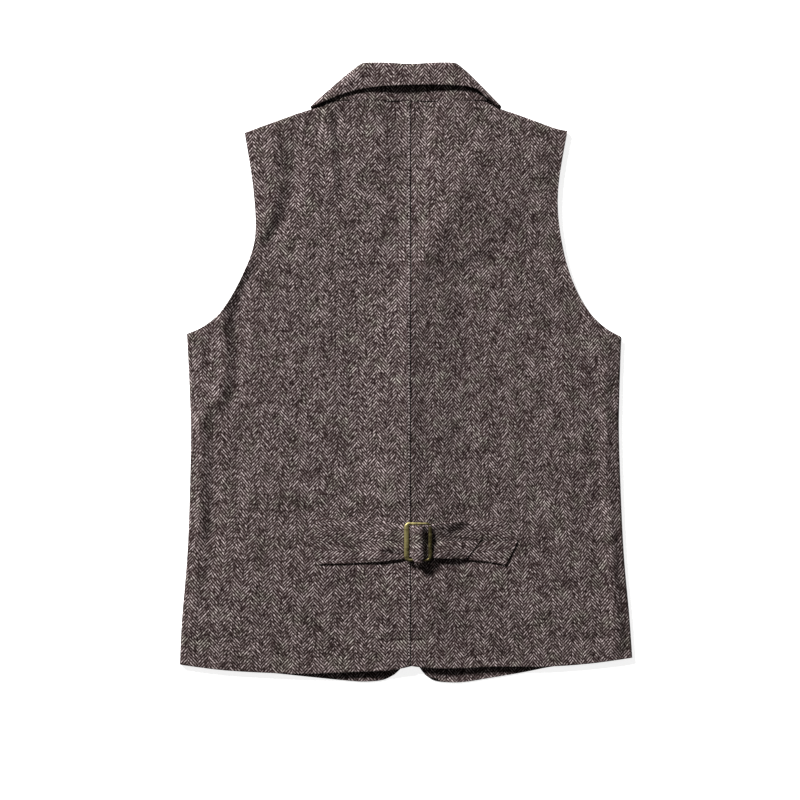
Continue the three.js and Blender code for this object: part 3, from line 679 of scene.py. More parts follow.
COLLAR = {  # columns: x on the left, x on the right, y, z
    "neck": [[-34.6, 45.6, 253.2, 3.3], [-58.4, 66.4, 275.1, 3.3], [-76, 80, 290.6, 3.4],
             [-84.6, 88.6, 299.4, 4.2], [-85.2, 89.2, 300.6, 5.8], [-83, 87, 300.6, 7.8],
             [-48, 56, 300.2, 7.8], [SEAM_X, SEAM_X, 300.2, 4.1]],
    "stand": [[-33.6, 44.6, 255.5, 3.4], [-41, 51, 284, 3.4], [-46.4, 55.4, 313, 3.4],
              [-50.2, 56.6, 332, 3.6], [-50.8, 57, 334.4, 4.3], [-50.2, 56.6, 334.6, 5],
              [-28, 37, 338.6, 5.2], [SEAM_X, SEAM_X, 336.6, 4.4]],
    "roll": [[-32.4, 43.4, 255.2, 2.2], [-38, 48, 285, 2.2], [-42, 51, 315, 2.2],
             [-46.5, 53.2, 337.4, 2.6], [-48.2, 55, 340.8, 5.3], [-46, 53.2, 341.4, 8],
             [-26, 34, 341.8, 7.8], [SEAM_X, SEAM_X, 340.4, 6.9]],
    "leaf": [[-37, 48, 254.8, 1], [-44, 54, 285, 1], [-50, 59, 314, 1],
             [-57, 63.6, 330, 1.4], [-59.4, 65.4, 333.4, 6], [-55, 61, 332.6, 10.4],
             [-28, 37, 338.4, 10], [SEAM_X, SEAM_X, 336.4, 8.8]],
    "edge": [[-100, 111, 240, 1], [-107, 115, 262, 1], [-107, 110, 280, 1],
             [-104, 104, 289.8, 2.2], [-105.4, 104.8, 293.8, 6.9], [-100.4, 100, 295, 11.8],
             [-56, 82, 311.6, 12.8], [SEAM_X, SEAM_X, 317.5, 11.6]],
}


def smooth_through(knots, count):
    """Curves through knots along the first axis, in count even steps of the knots' numbers.
    Slopes are weighed by the square roots of the distances, which keeps tight turns tidy."""
    p = np.concatenate([2 * knots[:1] - knots[1:2], knots, 2 * knots[-1:] - knots[-2:-1]])
    t = np.linspace(0, len(knots) - 1, count + 1)
    k = np.minimum(t.astype(int), len(knots) - 2)
    w = (t - k).reshape(-1, *[1] * (knots.ndim - 1))
    p0, p1, p2, p3 = (p[k + step] for step in range(4))
    d0, d1, d2 = (np.sqrt(np.linalg.norm(b - a, axis=-1, keepdims=True))
                  for a, b in ((p0, p1), (p1, p2), (p2, p3)))
    m1 = d1 * ((p1 - p0) / d0 - (p2 - p0) / (d0 + d1) + (p2 - p1) / d1)
    m2 = d1 * ((p2 - p1) / d1 - (p3 - p1) / (d1 + d2) + (p3 - p2) / d2)
    return cubic(p1, p2, m1, m2, w)


def thick_wall(name, middle, thickness, flat_cloth):
    """A wall half its thickness to each side of a grid of points, pressed flat on the table."""
    normal = surface_normals(middle)
    faces = [middle + sign * normal * thickness / 2 for sign in (1, -1)]
    for face in faces:
        face[..., 2] = np.maximum(face[..., 2], 0)
    return wall(name, *faces, flat_cloth)


# The grid has this many steps along the strip and across it. The slanting fold at each side
# is at this step from the strip's end, and the directions point straight out across it.
COLLAR_STEPS = {"along": 210, "across": 48}
FOLD_STEP = 75
FOLD_OUT = {-1: (-0.652, 0.758), 1: (0.709, 0.705)}
WEAVE_SHIFT = 2.0  # brings a turn of the herringbone to where it shows
LEAF_PRESS = 2.0  # how much lower the left half of the leaf is pressed


def unfolded(middle):
    """Where the collar lies on the flat cloth: as seen from above on top, and laid out flat
    beyond the slanting fold at each side, by the length of the strip measured across it."""
    flat = middle[..., :2] + [WEAVE_SHIFT, 0.0]
    for side, out in FOLD_OUT.items():
        end = middle[::-side][:FOLD_STEP + 1]
        reach = end[..., :2] @ np.array(out)
        step = np.hypot(np.diff(reach, axis=0), np.diff(end[..., 2], axis=0))
        run = step[::-1].cumsum(axis=0)[::-1]
        shift = (reach[-1] + run - reach[:-1])[..., None] * np.array(out)
        flat[::-side][:FOLD_STEP] += shift
    return flat


def collar_piece():
    """The collar's grid: smooth along its five lines, then smooth across them."""
    lines = []
    for rows in COLLAR.values():
        table = np.array(rows)
        left, right = table[:, [0, 2, 3]], table[:-1, [1, 2, 3]][::-1]
        lines.append(np.concatenate([left, right]))
    along = smooth_through(np.stack(lines, axis=1), COLLAR_STEPS["along"])
    middle = smooth_through(along.swapaxes(0, 1), COLLAR_STEPS["across"]).swapaxes(0, 1)
    share = np.linspace(0, 1, middle.shape[1])[None, :]
    x, z = middle[..., 0], middle[..., 2]
    middle[..., 2] -= LEAF_PRESS * ease((-16 - x) / 32) * ease(2 * share - 1) * ease((z - 6) / 3)
    return thick_wall("tweed_collar", middle, CLOTH, unfolded(middle))


collar = collar_piece()

# %% [markdown]
# Two straps take in the back. The left one passes under, over and under the bars of the
# buckle, and its pointed end lies on the right one, which is looped round the centre bar.
# A strap is described by rows along its length, with its height over the back, its two edges
# and its thickness, which is less where a strap is sewn down, at the pointed end and in the
# loop. Smooth curves run through the rows. The tweed of a strap is cut along the piece, so
# its herringbone lies on its side.

# %% Straps

STRAP_LEFT = [  # columns: x, height over the back, lower y, upper y, thickness
    [-108.6, 1.0, -186, -183.4, 1.2], [-96.6, 1.0, -212.6, -162, 1.2],
    [-70, 1.1, -212, -161.6, 1.3], [-47.7, 1.3, -210.8, -161.8, 1.6],
    [-24, 1.6, -209.4, -166, 2], [-8, 1.7, -207, -169.4, 2], [2, 1.9, -204.8, -170.2, 2],
    [5, 3.2, -204.6, -170.4, 2], [7, 5.4, -204.6, -170.4, 2],
    [8.6, 8.1, -207.8, -170.4, 2], [10.8, 10.1, -210.4, -170.4, 2],
    [13.8, 10.7, -211.4, -170.4, 2], [17, 10.4, -210.4, -170.4, 2],
    [18.6, 9.4, -208, -170.4, 2], [20, 7.8, -204.6, -170.4, 2],
    [22.2, 5.6, -204.6, -170.4, 2], [24.4, 4.6, -204.8, -170, 1.9],
    [32, 4.3, -205.4, -168.4, 1.8], [45, 4, -206, -166.6, 1.6],
    [66.8, 3.15, -206.5, -165, 0.8], [83.8, 2.6, -184.4, -182, 0.5],
]
STRAP_RIGHT = [
    [122.8, 1.1, -189, -186.2, 1.3], [110.4, 1.1, -213.6, -163.2, 1.3],
    [90, 1.3, -209.6, -163.8, 1.5], [68, 1.6, -207.6, -165.2, 1.8],
    [45, 1.7, -206.4, -167.4, 2], [32, 1.7, -205.6, -168.8, 2],
    [24, 1.8, -204.8, -170, 1.6], [18, 2.7, -204.6, -170.4, 1.2],
    [14, 3.8, -204.6, -170.4, 1.2], [11.1, 4.5, -204.6, -170.4, 1.2],
    [10.3, 6.2, -204.6, -170.4, 1.2], [11.2, 8, -204.6, -170.4, 1.2],
    [13.8, 8.5, -204.6, -170.4, 1.2], [16.4, 7.8, -204.6, -170.4, 1.2],
    [17.8, 5.8, -204.6, -170.4, 1.2],
]

# Creases of the two straps, in the columns of the back's folds
LEFT_CREASES = [
    [9, -4.4, [28, -166.5], [62, -163.5]],
    [8, -0.7, [30, -199], [62, -199]],
    [2.2, 0.9, [27, -187.5], [66, -187]],
    [5, 0.8, [32, -172], [33, -190]],
    [5.5, -3.0, [-24, -194.5], [-8, -195.5]],
    [6, -0.6, [-20, -181], [-66, -183]],
    [6, 0.4, [-34, -168], [-62, -184]],
    [6, 0.5, [-78, -200], [-98, -190]],
    [5, -1.1, [-46, -205], [-8, -203]],
]
RIGHT_CREASES = [
    [2.2, 0.9, [27, -187.5], [84, -187], [118, -187.6]],
    [5, 0.8, [32, -172], [33, -190]],
    [5, 0.5, [96, -208], [112, -192]],
    [5, 0.4, [84, -168], [104, -176]],
]
EDGE_DROP = 0.5  # how far a strap's upper edge bends down
STRAP_GRID = {"per_row": 14, "across": 41}


def strap(name, rows, creases):
    """A strap: its middle follows the back at the table's heights, less its creases, between
    its two edges."""
    table = np.array(rows, float)
    x, lift, low, high, thickness = table.T
    line = smooth_through(np.stack([x, lift], -1), STRAP_GRID["per_row"] * (len(x) - 1))
    run = np.concatenate([[0], np.cumsum(np.linalg.norm(np.diff(line, axis=0), axis=1))])
    knots = run[::STRAP_GRID["per_row"]]
    low, high, thickness = (np.interp(run, knots, edge) for edge in (low, high, thickness))
    share = np.linspace(0, 1, STRAP_GRID["across"])[None, :]
    y = low[:, None] + (high - low)[:, None] * share
    x = np.broadcast_to(line[:, :1], y.shape)
    soft_edge = EDGE_DROP * ease((share - 0.88) / 0.12)
    z = back_height(x, y) + line[:, 1:] - folds(x, y, creases, CREASE) - soft_edge
    flat_cloth = np.stack([y, np.broadcast_to(run[:, None], y.shape)], -1)
    return thick_wall(name, np.stack([x, y, z], -1), thickness[:, None, None], flat_cloth)


strap_left = strap("tweed_strap_left", STRAP_LEFT, LEFT_CREASES)
strap_right = strap("tweed_strap_right", STRAP_RIGHT, RIGHT_CREASES)

# %% [markdown]
# A row of small hand stitches holds the pressed seam allowance, just left of the centre seam,
# where the cloth begins to roll under. Each one is a short, thick thread that dips into the
# cloth at both ends, so it is a rounded bar whose section shrinks towards its ends. All of
# them are worked out at once and make one mesh.

# %% Stitches

STITCH = {"x": 3.6, "first": -316.0, "last": 292.0, "pitch": 3.4, "stray": 0.3, "length": 2.0,
          "slant": 2.4, "half": 0.6, "end_share": 0.35, "lift": 0.1, "sides": 6, "steps": 5}


def stitches():
    """Rounded bars: sections of a sine's height along the stitch, round its slanting line,
    which goes down with the circle of the seam's roll."""
    s = STITCH
    rng = np.random.default_rng(5)
    y = np.arange(s["first"], s["last"], s["pitch"])
    y = y + rng.uniform(-s["stray"], s["stray"], len(y))
    along = np.linspace(0, 1, s["steps"])[None, :, None]
    around = np.linspace(0, 2 * math.pi, s["sides"], endpoint=False)[None, None, :]
    ends = s["end_share"]
    swell = s["half"] * (ends + (1 - ends) * np.sin(math.pi * along))
    line_x = s["x"] + s["slant"] * (along - 0.5) + 0 * y[:, None, None]
    line_y = y[:, None, None] - s["length"] * (along - 0.5)
    past_roll = np.maximum(line_x - SEAM_X + ROLL * math.sin(math.radians(SEAM_TURN[-1])), 0)
    drop = ROLL - np.sqrt(ROLL**2 - past_roll**2)
    line_z = back_height(line_x, line_y) - drop + s["lift"]
    points = np.stack([line_x + swell * np.cos(around), line_y + 0 * around,
                       line_z + swell * np.sin(around)], -1)
    grid = np.arange(points[..., 0].size).reshape(points.shape[:3])
    return make_mesh("seam_stitches", points.reshape(-1, 3), round_faces(grid).tolist())


seam_stitches = stitches()
print("stitches", len(seam_stitches.data.polygons), "faces")

# %% [markdown]
# The buckle is a cast slide: a frame with wide side bars, thinner rails above and below, and
# a bar across its middle. A casting has no sharp edge, so the frame is one ring: a rounded
# section carried round an outline, wide where the bars are and narrow at the rails.

# %% Buckle

BUCKLE = {"x": 13.6, "y": -187.6, "width": 31.6, "height": 42.2, "bar": 5.5, "rail": 3.0,
          "centre_bar": 3.4, "thick": 2.0, "corner": 5.5, "inner_corner": 1.4, "tilt": 5.0,
          "lift": 5.1, "arch": 0.8, "slim": 0.25}
SECTION = 16  # points round a section
OUTLINE = 160  # points round the frame
BLUNT, TALL = 0.8, 0.9  # powers below one square the round section off a little


def rounded_outline(half_width, half_height, corner, count):
    """Points round a box with round corners, spread so that the corners get their share."""
    quarter = np.linspace(0, math.pi / 2, count // 8)
    points = []
    for turn, (sx, sy) in enumerate([(1, 1), (-1, 1), (-1, -1), (1, -1)]):
        centre = np.array([sx * (half_width - corner), sy * (half_height - corner)])
        angle = quarter + turn * math.pi / 2
        points.append(centre + corner * np.stack([np.cos(angle), np.sin(angle)], -1))
    return np.concatenate(points)


def frame_ring(b, blunt, tall):
    """The frame: a squared-off round section, between the outer and the inner outline. Its
    rails bow outwards by a parabola, and its right bar is a little slimmer."""
    outer = rounded_outline(b["width"] / 2, b["height"] / 2, b["corner"], OUTLINE)
    inner = rounded_outline(b["width"] / 2 - b["bar"], b["height"] / 2 - b["rail"],
                            b["inner_corner"], OUTLINE)
    middle, reach = (outer + inner) / 2, (outer - inner) / 2
    slim = 1 - b["slim"] * ease((middle[:, :1] - 6) / 6)
    plan = middle[:, None, :] + (reach * slim)[:, None, :] * blunt[None, :, None]
    arch = 1 - (2 * plan[..., 0] / b["width"]) ** 2
    plan[..., 1] += b["arch"] * arch * np.sign(plan[..., 1]) * ease(abs(plan[..., 1]) / 12)
    z = b["thick"] / 2 * (1 + tall)[None, :] * np.ones((len(plan), 1))
    return np.concatenate([plan, z[..., None]], -1)


def centre_bar(b, blunt, tall):
    """The bar across the middle: the same section, halved where it ends in the rails."""
    y = np.linspace(-1, 1, 30) * (b["height"] / 2 - 0.3 * b["rail"])
    slight = 1 - 0.5 * ease((abs(y[:, None]) - 15) / 3)
    x = b["centre_bar"] / 2 * blunt[None, :] * slight
    z = b["thick"] * (0.45 * tall[None, :] + 0.5) * slight
    return np.stack([x, y[:, None] + 0 * x, z], -1)


def buckle_piece():
    """The frame and its centre bar, in one mesh, turned by the tilt and moved to the solid's
    place, at a height over the back."""
    b = BUCKLE
    around = np.linspace(0, 2 * math.pi, SECTION, endpoint=False)
    blunt = np.sign(np.cos(around)) * np.abs(np.cos(around)) ** BLUNT
    tall = np.sign(np.sin(around)) * np.abs(np.sin(around)) ** TALL
    ring, bar = frame_ring(b, blunt, tall), centre_bar(b, blunt, tall)
    points = np.concatenate([ring.reshape(-1, 3), bar.reshape(-1, 3)])
    number = np.arange(len(points)).reshape(-1, SECTION)
    ring_rows, bar_rows = number[:len(ring)], number[len(ring):]
    faces = round_faces(np.concatenate([ring_rows, ring_rows[:1]])).tolist()
    faces += round_faces(bar_rows).tolist()
    faces += [bar_rows[0].tolist()[::-1], bar_rows[-1].tolist()]
    tilt = math.radians(b["tilt"])
    base = float(back_height(np.array(b["x"]), np.array(b["y"])))
    x, y, z = points.T
    placed = np.stack([b["x"] + x * math.cos(tilt) - z * math.sin(tilt), b["y"] + y,
                       base + b["lift"] + x * math.sin(tilt) + z * math.cos(tilt)], -1)
    return make_mesh("brass_slide_buckle", placed, faces)


buckle = buckle_piece()
print("buckle box", [round(v, 4) for v in buckle.bound_box[0]])

# %% [markdown]
# The buttons are under the garment, face down. Each is a disc with a raised rim and four
# holes. The face is a surface of two parameters, the distance from the middle and the angle
# round it, with four round pits pressed into it. The back is the same disc without pits.

# %% Buttons

BUTTON = {"first": 45.0, "pitch": -70.0, "count": 5, "hole": 0.9, "hole_out": 1.9,
          "hole_depth": 1.6, "rings": 88, "face_rings": 30, "sides": 56}
BUTTON_PROFILE = [  # radius and height, from the middle of the face round to that of the back
    [0.02, 0.8], [2.5, 0.8], [4.6, 0.8], [5.3, 0.5], [5.8, 0.05], [6.4, 0.0], [7.2, 0.2],
    [7.5, 0.8], [7.3, 1.8], [6.3, BUTTON_THICKNESS], [3, BUTTON_THICKNESS],
    [0.02, BUTTON_THICKNESS],
]


def button_piece(name, button_y):
    """A turned disc: its profile carried round the middle. Each pit raises the face, which
    looks down, by a steep bell of the distance from the hole."""
    b = BUTTON
    profile = smooth_through(np.array(BUTTON_PROFILE), b["rings"])
    profile[:, 1] = np.clip(profile[:, 1], 0, BUTTON_THICKNESS)
    angle = np.linspace(0, 2 * math.pi, b["sides"], endpoint=False)[None, :]
    x, y = profile[:, :1] * np.cos(angle), profile[:, :1] * np.sin(angle)
    z = profile[:, 1:] + 0 * angle
    face = (np.arange(len(profile)) < b["face_rings"])[:, None]
    for sx, sy in [(-1, -1), (-1, 1), (1, -1), (1, 1)]:
        away = np.hypot(x - sx * b["hole_out"], y - sy * b["hole_out"])
        z = z + face * b["hole_depth"] * np.exp(-((away / b["hole"]) ** 4))
    points = np.stack([FRONT_X + x, button_y + y, z], -1).reshape(-1, 3)
    grid = np.arange(len(points)).reshape(len(profile), -1)
    faces = round_faces(grid).tolist() + [grid[0].tolist(), grid[-1].tolist()[::-1]]
    return make_mesh(name, points, faces)


buttons = [button_piece(f"horn_button_{k + 1}", BUTTON["first"] + k * BUTTON["pitch"])
           for k in range(BUTTON["count"])]
print(len(buttons), "buttons")

# %% [markdown]
# Colours are given as they look on a screen and turned to the linear light that the shader
# works in. One small function fills or links the inputs of a node, and one adds a node of
# any kind with its settings, so a material reads as a list of named steps.

# %% Colours and nodes

def linear(colour):
    """An sRGB hex colour as linear red, green, blue and alpha: each channel, after a small
    offset, to the power 2.4, with a straight run near black."""
    channels = [int(colour[k:k + 2], 16) / 255 for k in (1, 3, 5)]
    return (*(c / 12.92 if c < 0.04045 else ((c + 0.055) / 1.055) ** 2.4 for c in channels), 1)


def fill_inputs(node, inputs):
    """Links each input to a socket or to a node's first output, or else sets its value."""
    for key, value in inputs.items():
        if isinstance(value, bpy.types.Node):
            value = value.outputs[0]
        if isinstance(value, bpy.types.NodeSocket):
            node.id_data.links.new(value, node.inputs[key])
        else:
            node.inputs[key].default_value = value


def add_node(material, kind, inputs, stops=(), **settings):
    """Adds a shader node with its settings and inputs, and the stops of its colour ramp."""
    node = material.node_tree.nodes.new("ShaderNode" + kind)
    for key, value in settings.items():
        setattr(node, key, value)
    fill_inputs(node, inputs)
    for k, (position, colour) in enumerate(stops):
        ramp = node.color_ramp.elements
        stop = ramp[k] if k < len(ramp) else ramp.new(position)
        stop.position = position
        stop.color = linear(colour)
    return node


def new_material(name):
    """An empty material and its Principled shader."""
    material = bpy.data.materials.new(name)
    material.use_nodes = True
    return material, material.node_tree.nodes["Principled BSDF"]


print("a screen's middle grey is", round(linear("#808080")[0], 3), "in linear light")

# %% [markdown]
# Herringbone is a twill whose slant turns back at every column, and the turn is broken: a
# light line meets a dark one. Real lines of this cloth are about 3 mm apart. They are drawn
# 3.8 mm apart here, because finer ones wash out in the picture, and a column is 11 mm wide, as
# it shows. Each line gets its own strength along its length, as carded wool yarns have, with a
# few bright and dark flecks, and broad soft patches where the dye took differently. What it
# gives the eye is a dry, matt, speckled surface with a light sheen of nap.

# %% Tweed

COLUMN = 11.0 * MM
PITCH = 3.8 * MM
SLOPE = 1.11  # how far a line rises for each step across its column
DASH = 2.2 * MM  # length of yarn that keeps its strength
WANDER = 14 * MM  # how far apart the lines' wanderings are
STRAY = 0.8 * MM  # how far a line wanders
FLECK = 2.2 * MM
PATCH = 20 * MM
MOSS = 22 * MM  # size of the faint green patches
SHADES = [(0.0, "#0e0404"), (0.25, "#2b1e1d"), (0.5, "#5a4e4d"), (0.75, "#8a7e7d"),
          (1.0, "#bcaead")]


def tweed_material():
    """Woollen herringbone tweed on the flat cloth. A light line is a power of a cosine of the
    slanted place over the pitch, and its tone, with flecks and patches, picks the colour."""
    material, shader = new_material("woollen_herringbone_tweed")
    place = add_node(material, "UVMap", {}, uv_map="cloth")

    # The place strays a little, so that no line is ruled
    wander = add_node(material, "TexNoise", {"Vector": place, "Scale": 1 / WANDER, "Detail": 2.0})
    centred = add_node(material, "VectorMath", {0: wander.outputs["Color"], 1: (0.5, 0.5, 0.5)},
                       operation="SUBTRACT")
    moved = add_node(material, "VectorMath", {0: centred, 1: (STRAY, STRAY, 0.0), 2: place},
                     operation="MULTIPLY_ADD")
    axes = add_node(material, "SeparateXYZ", {0: moved})
    x, y = axes.outputs[0], axes.outputs[1]

    # Lines slant up and down by turns, and every second column is half a pitch further on
    zigzag = add_node(material, "Math", {0: x, 1: COLUMN}, operation="PINGPONG")
    slanted = add_node(material, "Math", {0: zigzag, 1: SLOPE, 2: y}, operation="MULTIPLY_ADD")
    columns = add_node(material, "Math", {0: x, 1: COLUMN}, operation="DIVIDE")
    column = add_node(material, "Math", {0: columns}, operation="FLOOR")
    turned = add_node(material, "Math", {0: column, 1: 1.0}, operation="PINGPONG")
    pitches = add_node(material, "Math", {0: slanted, 1: PITCH}, operation="DIVIDE")
    lines = add_node(material, "Math", {0: turned, 1: 0.5, 2: pitches}, operation="MULTIPLY_ADD")
    angle = add_node(material, "Math", {0: lines, 1: 2 * math.pi}, operation="MULTIPLY")
    wave = add_node(material, "Math", {0: angle}, operation="COSINE")
    lifted = add_node(material, "Math", {0: wave, 1: 0.5, 2: 0.5}, operation="MULTIPLY_ADD")
    ridge = add_node(material, "Math", {0: lifted, 1: 1.4}, operation="POWER")

    # A yarn's strength is a noise of its line, its dash and its column
    line = add_node(material, "Math", {0: lines}, operation="ROUND")
    dash = add_node(material, "Math", {0: x, 1: DASH}, operation="DIVIDE")
    seed = add_node(material, "CombineXYZ", {0: line, 1: dash, 2: column})
    apart = add_node(material, "VectorMath", {0: seed, 1: (7.31, 1.0, 3.7)},
                     operation="MULTIPLY")
    yarn = add_node(material, "TexNoise", {"Vector": apart, "Scale": 1.0, "Detail": 1.0})
    strength = add_node(material, "MapRange", {0: yarn, 1: 0.3, 2: 0.7, 3: 0.3, 4: 1.7})
    stripe = add_node(material, "Math", {0: ridge, 1: strength}, operation="MULTIPLY")

    # Flecks and patches of dye are added to the stripes' tone
    fleck = add_node(material, "TexNoise", {"Vector": place, "Scale": 1 / FLECK, "Detail": 1.0})
    speckle = add_node(material, "MapRange", {0: fleck, 1: 0.3, 2: 0.7, 3: -0.2, 4: 0.2})
    dye = add_node(material, "TexNoise", {"Vector": place, "Scale": 1 / PATCH, "Detail": 3.0})
    uneven = add_node(material, "MapRange", {0: dye, 1: 0.3, 2: 0.7, 3: -0.08, 4: 0.08})
    striped = add_node(material, "Math", {0: stripe, 1: 0.56, 2: 0.09}, operation="MULTIPLY_ADD")
    flecked = add_node(material, "Math", {0: striped, 1: speckle}, operation="ADD")
    tone = add_node(material, "Math", {0: flecked, 1: uneven}, operation="ADD")
    ramp = add_node(material, "ValToRGB", {0: tone}, stops=SHADES)
    moss = add_node(material, "TexNoise", {"Vector": place, "Scale": 1 / MOSS, "Detail": 1.0})
    green = add_node(material, "MapRange", {0: moss, 1: 0.5, 2: 0.7, 3: 0.0, 4: 0.8})
    tint = add_node(material, "Mix", {"Factor": green, 6: ramp, 7: linear("#eefaec")},
                    data_type="RGBA", blend_type="MULTIPLY")

    relief = add_node(material, "Math", {0: fleck, 1: 1.2, 2: stripe}, operation="MULTIPLY_ADD")
    bump = add_node(material, "Bump", {"Height": relief, "Strength": 0.4, "Distance": 0.3 * MM})
    fill_inputs(shader, {
        "Base Color": tint.outputs[2], "Normal": bump, "Roughness": 0.92,
        "Specular IOR Level": 0.15, "Sheen Weight": 0.06, "Sheen Roughness": 0.45,
        "Sheen Tint": linear("#cabdb8")})
    return material


tweed = tweed_material()
print(tweed.name, "has", len(tweed.node_tree.nodes), "nodes")

# %% [markdown]
# Antique brass is cast brass that was darkened in a bath and then rubbed, so the hollows stay
# dark olive and the edges come back bright. A metal keeps its colour in its reflections, and
# this one is satin, so its roughness is middling and uneven. Its colour also carries painted
# light and shade: lighter towards the upper left, where the lamp is, and darker towards the
# right bar and the bottom rail.

# %% Brass

RUBBED = 3.846 * MM  # size of the rubbed patches
CASTING_GRAIN = 0.6667 * MM  # grain of the cast surface
PAINTED_LIGHT_RANGE = (94 * MM, 112 * MM)  # painted light and shade: the brass runs from lighter at the upper left to darker at the right bar and bottom rail over this range of x less half of y


def brass_material():
    """Antique brass: a noise of rubbed patches, plus painted light and shade that is lighter to
    the upper left and darker to the lower right, picks between the dark bath colour and the
    rubbed one, and a fine noise gives the grain of the casting."""
    material, shader = new_material("antiqued_cast_brass")
    place = add_node(material, "TexCoord", {}).outputs["Object"]
    rubbed = add_node(material, "TexNoise", {"Vector": place, "Scale": 1 / RUBBED,
                                             "Detail": 4.0})
    # Painted light and shade: a slope across the buckle, lighter to the upper left and darker to
    # the lower right
    across = add_node(material, "VectorMath", {0: place, 1: (1.0, -0.5, 0.0)},
                      operation="DOT_PRODUCT")
    painted_light = add_node(material, "MapRange", {0: across.outputs["Value"], 1: PAINTED_LIGHT_RANGE[0], 2: PAINTED_LIGHT_RANGE[1],
                                           3: 0.08, 4: -0.16})
    shade = add_node(material, "Math", {0: rubbed, 1: painted_light}, operation="ADD")
    ramp = add_node(material, "ValToRGB", {0: shade}, [(0.3, "#484129"), (0.65, "#c2b67c")])
    rough = add_node(material, "MapRange", {0: rubbed, 1: 0.35, 2: 0.7, 3: 0.5, 4: 0.3})
    grain = add_node(material, "TexNoise", {"Vector": place, "Scale": 1 / CASTING_GRAIN,
                                            "Detail": 2.0})
    bump = add_node(material, "Bump", {"Height": grain, "Strength": 0.3, "Distance": 0.1 * MM})
    fill_inputs(shader, {"Base Color": ramp, "Roughness": rough, "Normal": bump,
                                   "Metallic": 1.0})
    return material


brass = brass_material()
print(brass.name, "has", len(brass.node_tree.nodes), "nodes")

# %% [markdown]
# The buttons are moulded polyester that copies horn: dark brown with long paler streaks, and
# a satin shine. The stitches are wool thread, pale and matt, a little uneven along its length.

# %% Horn and thread

STREAK = (11.11 * MM, 3.125 * MM, 11.11 * MM)  # size of a streak of horn along x, y and z
THREAD_PATCH = 5.556 * MM  # length of thread that keeps its shade


def horn_material():
    """Horn-effect polyester: a noise drawn out along x picks between dark and pale brown."""
    material, shader = new_material("horn_effect_polyester")
    place = add_node(material, "TexCoord", {}).outputs["Object"]
    drawn = add_node(material, "Mapping", {"Vector": place, "Scale": [1 / s for s in STREAK]})
    streak = add_node(material, "TexNoise", {"Vector": drawn, "Scale": 1.0, "Detail": 3.0,
                                             "Distortion": 1.2})
    ramp = add_node(material, "ValToRGB", {0: streak}, [(0.4, "#241a16"), (0.72, "#6a4f3c")])
    fill_inputs(shader, {"Base Color": ramp, "Roughness": 0.38, "IOR": 1.55})
    return material


def thread_material():
    """Wool thread: a soft noise picks between two pale greys."""
    material, shader = new_material("pale_wool_thread")
    place = add_node(material, "TexCoord", {}).outputs["Object"]
    uneven = add_node(material, "TexNoise", {"Vector": place, "Scale": 1 / THREAD_PATCH,
                                             "Detail": 1.0})
    ramp = add_node(material, "ValToRGB", {0: uneven}, [(0.35, "#8d8180"), (0.65, "#d0c4c3")])
    fill_inputs(shader, {"Base Color": ramp, "Roughness": 0.9,
                                   "Specular IOR Level": 0.2})
    return material


horn, thread = horn_material(), thread_material()
print(horn.name, "and", thread.name)

# %% [markdown]
# The table is white acrylic, lit from below as well as above, as a product table is, so the
# white stays white. It is only the stage, not a part of the object.

# %% Table

FLOOR_HALF = 6000.0  # half the table's width, in millimetres


def table_material():
    """White acrylic, partly lit from behind."""
    material, shader = new_material("white_acrylic_table")
    fill_inputs(shader, {
        "Base Color": linear("#f4f4f4"), "Roughness": 0.8, "Emission Color": (1, 1, 1, 1),
        "Emission Strength": 0.8})
    return material


floor_corners = np.array([[-1, -1, 0], [1, -1, 0], [1, 1, 0], [-1, 1, 0]])
floor = make_mesh("floor", FLOOR_HALF * floor_corners, [[0, 1, 2, 3]])
floor.data.materials.append(table_material())
print("table is", 2 * FLOOR_HALF * MM, "m wide")

# %% [markdown]
# Each piece now gets its finish, stands for its solid, and rides on the one body there is.
# The table of cloth pieces also lists how large each was cut and what it lies on, but nothing
# here reads those columns. The stitches are the one piece that the solids don't have, so they
# stand for none.

# %% Pieces and what they stand for

CUTS = [  # piece, node, width, length, area in square metres, rests on
    (back_left, "back_left", 0.257, 0.634, 0.139, ["front_left"]),
    (back_right, "back_right", 0.245, 0.628, 0.129, ["front_right"]),
    (front_left, "front_left", 0.272, 0.640, 0.138, ["floor"]),
    (front_right, "front_right", 0.261, 0.641, 0.1295, ["front_left"]),
    (lapel_left, "lapel_left", 0.110, 0.1465, 0.0071, ["floor"]),
    (lapel_right, "lapel_right", 0.110, 0.1465, 0.0071, ["floor"]),
    (collar, "collar", 0.38, 0.10, 0.0227, ["floor"]),
    (strap_left, "strap_left", 0.051, 0.205, 0.0079, ["back_left", "strap_right"]),
    (strap_right, "strap_right", 0.0504, 0.13, 0.0047, ["back_right"]),
]


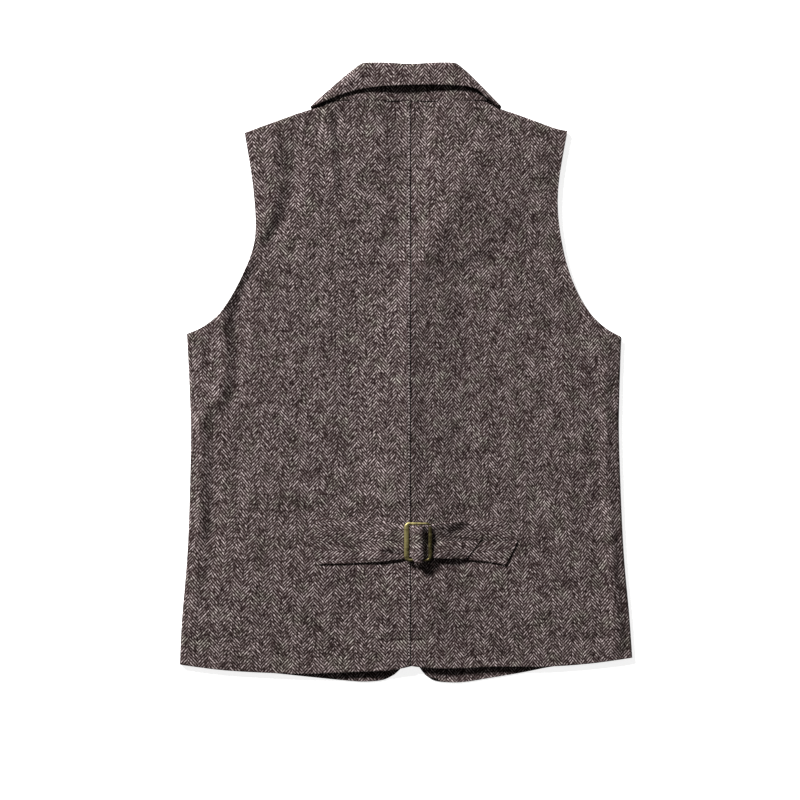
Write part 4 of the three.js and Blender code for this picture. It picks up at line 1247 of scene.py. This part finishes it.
def finish_piece(piece, node, material):
    """Gives a piece its material and says what it stands for."""
    piece.data.materials.append(material)
    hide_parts(node)
    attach(piece, "root")


for piece, node, width, length, area, rests_on in CUTS:
    finish_piece(piece, node, tweed)
seam_stitches.data.materials.append(thread)
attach(seam_stitches, "root")
finish_piece(buckle, "buckle", brass)
for k, button in enumerate(buttons):
    finish_piece(button, f"button_{k + 1}", horn)
print(len(CUTS), "sheets of cloth,", len(buttons) + 2, "other pieces")

# %% [markdown]
# One lamp stands far off at the upper left, low enough to rake over the cloth and draw its
# folds, and small enough for shadows with clear edges. A dim white surround fills the
# shadows. The camera looks straight down, from a height where nothing is foreshortened much.

# %% Light and camera

KEY = {"place": (-4.5, 5.37, 4.15), "size": 1.6, "power": 1800}  # metres and watts
SURROUND = 0.105  # strength of the white surround
VIEW_WIDTH = 0.888  # width of the table that the picture shows, in metres
CAMERA = (-0.00666, -0.03108, 3.0)
SENSOR = 36  # width of the sensor, in millimetres


def aim(item, target):
    """Turns an object so that its -Z axis points at a target, with +Y up the picture."""
    way = np.array(target) - np.array(item.location)
    flat = math.hypot(way[0], way[1])
    item.rotation_euler = (math.atan2(flat, -way[2]), 0, math.atan2(-way[0], way[1]))


world = bpy.data.worlds.new("pale_surround")
bpy.context.scene.world = world
world.use_nodes = True
fill_inputs(world.node_tree.nodes["Background"], {0: (1, 1, 1, 1), 1: SURROUND})

key_data = bpy.data.lights.new("key_lamp", "AREA")
key_data.shape = "SQUARE"
key_data.size = KEY["size"]
key_data.energy = KEY["power"]
key = bpy.data.objects.new("key_lamp", key_data)
key.location = KEY["place"]
aim(key, (0, 0, 0))
bpy.context.scene.collection.objects.link(key)

camera_data = bpy.data.cameras.new("camera")
camera_data.sensor_width = SENSOR
camera_data.lens = SENSOR * CAMERA[2] / VIEW_WIDTH
camera = bpy.data.objects.new("camera", camera_data)
camera.location = CAMERA
bpy.context.scene.collection.objects.link(camera)
bpy.context.scene.camera = camera
bpy.context.scene.view_settings.view_transform = "Standard"
print("lens", round(camera_data.lens, 1), "mm")
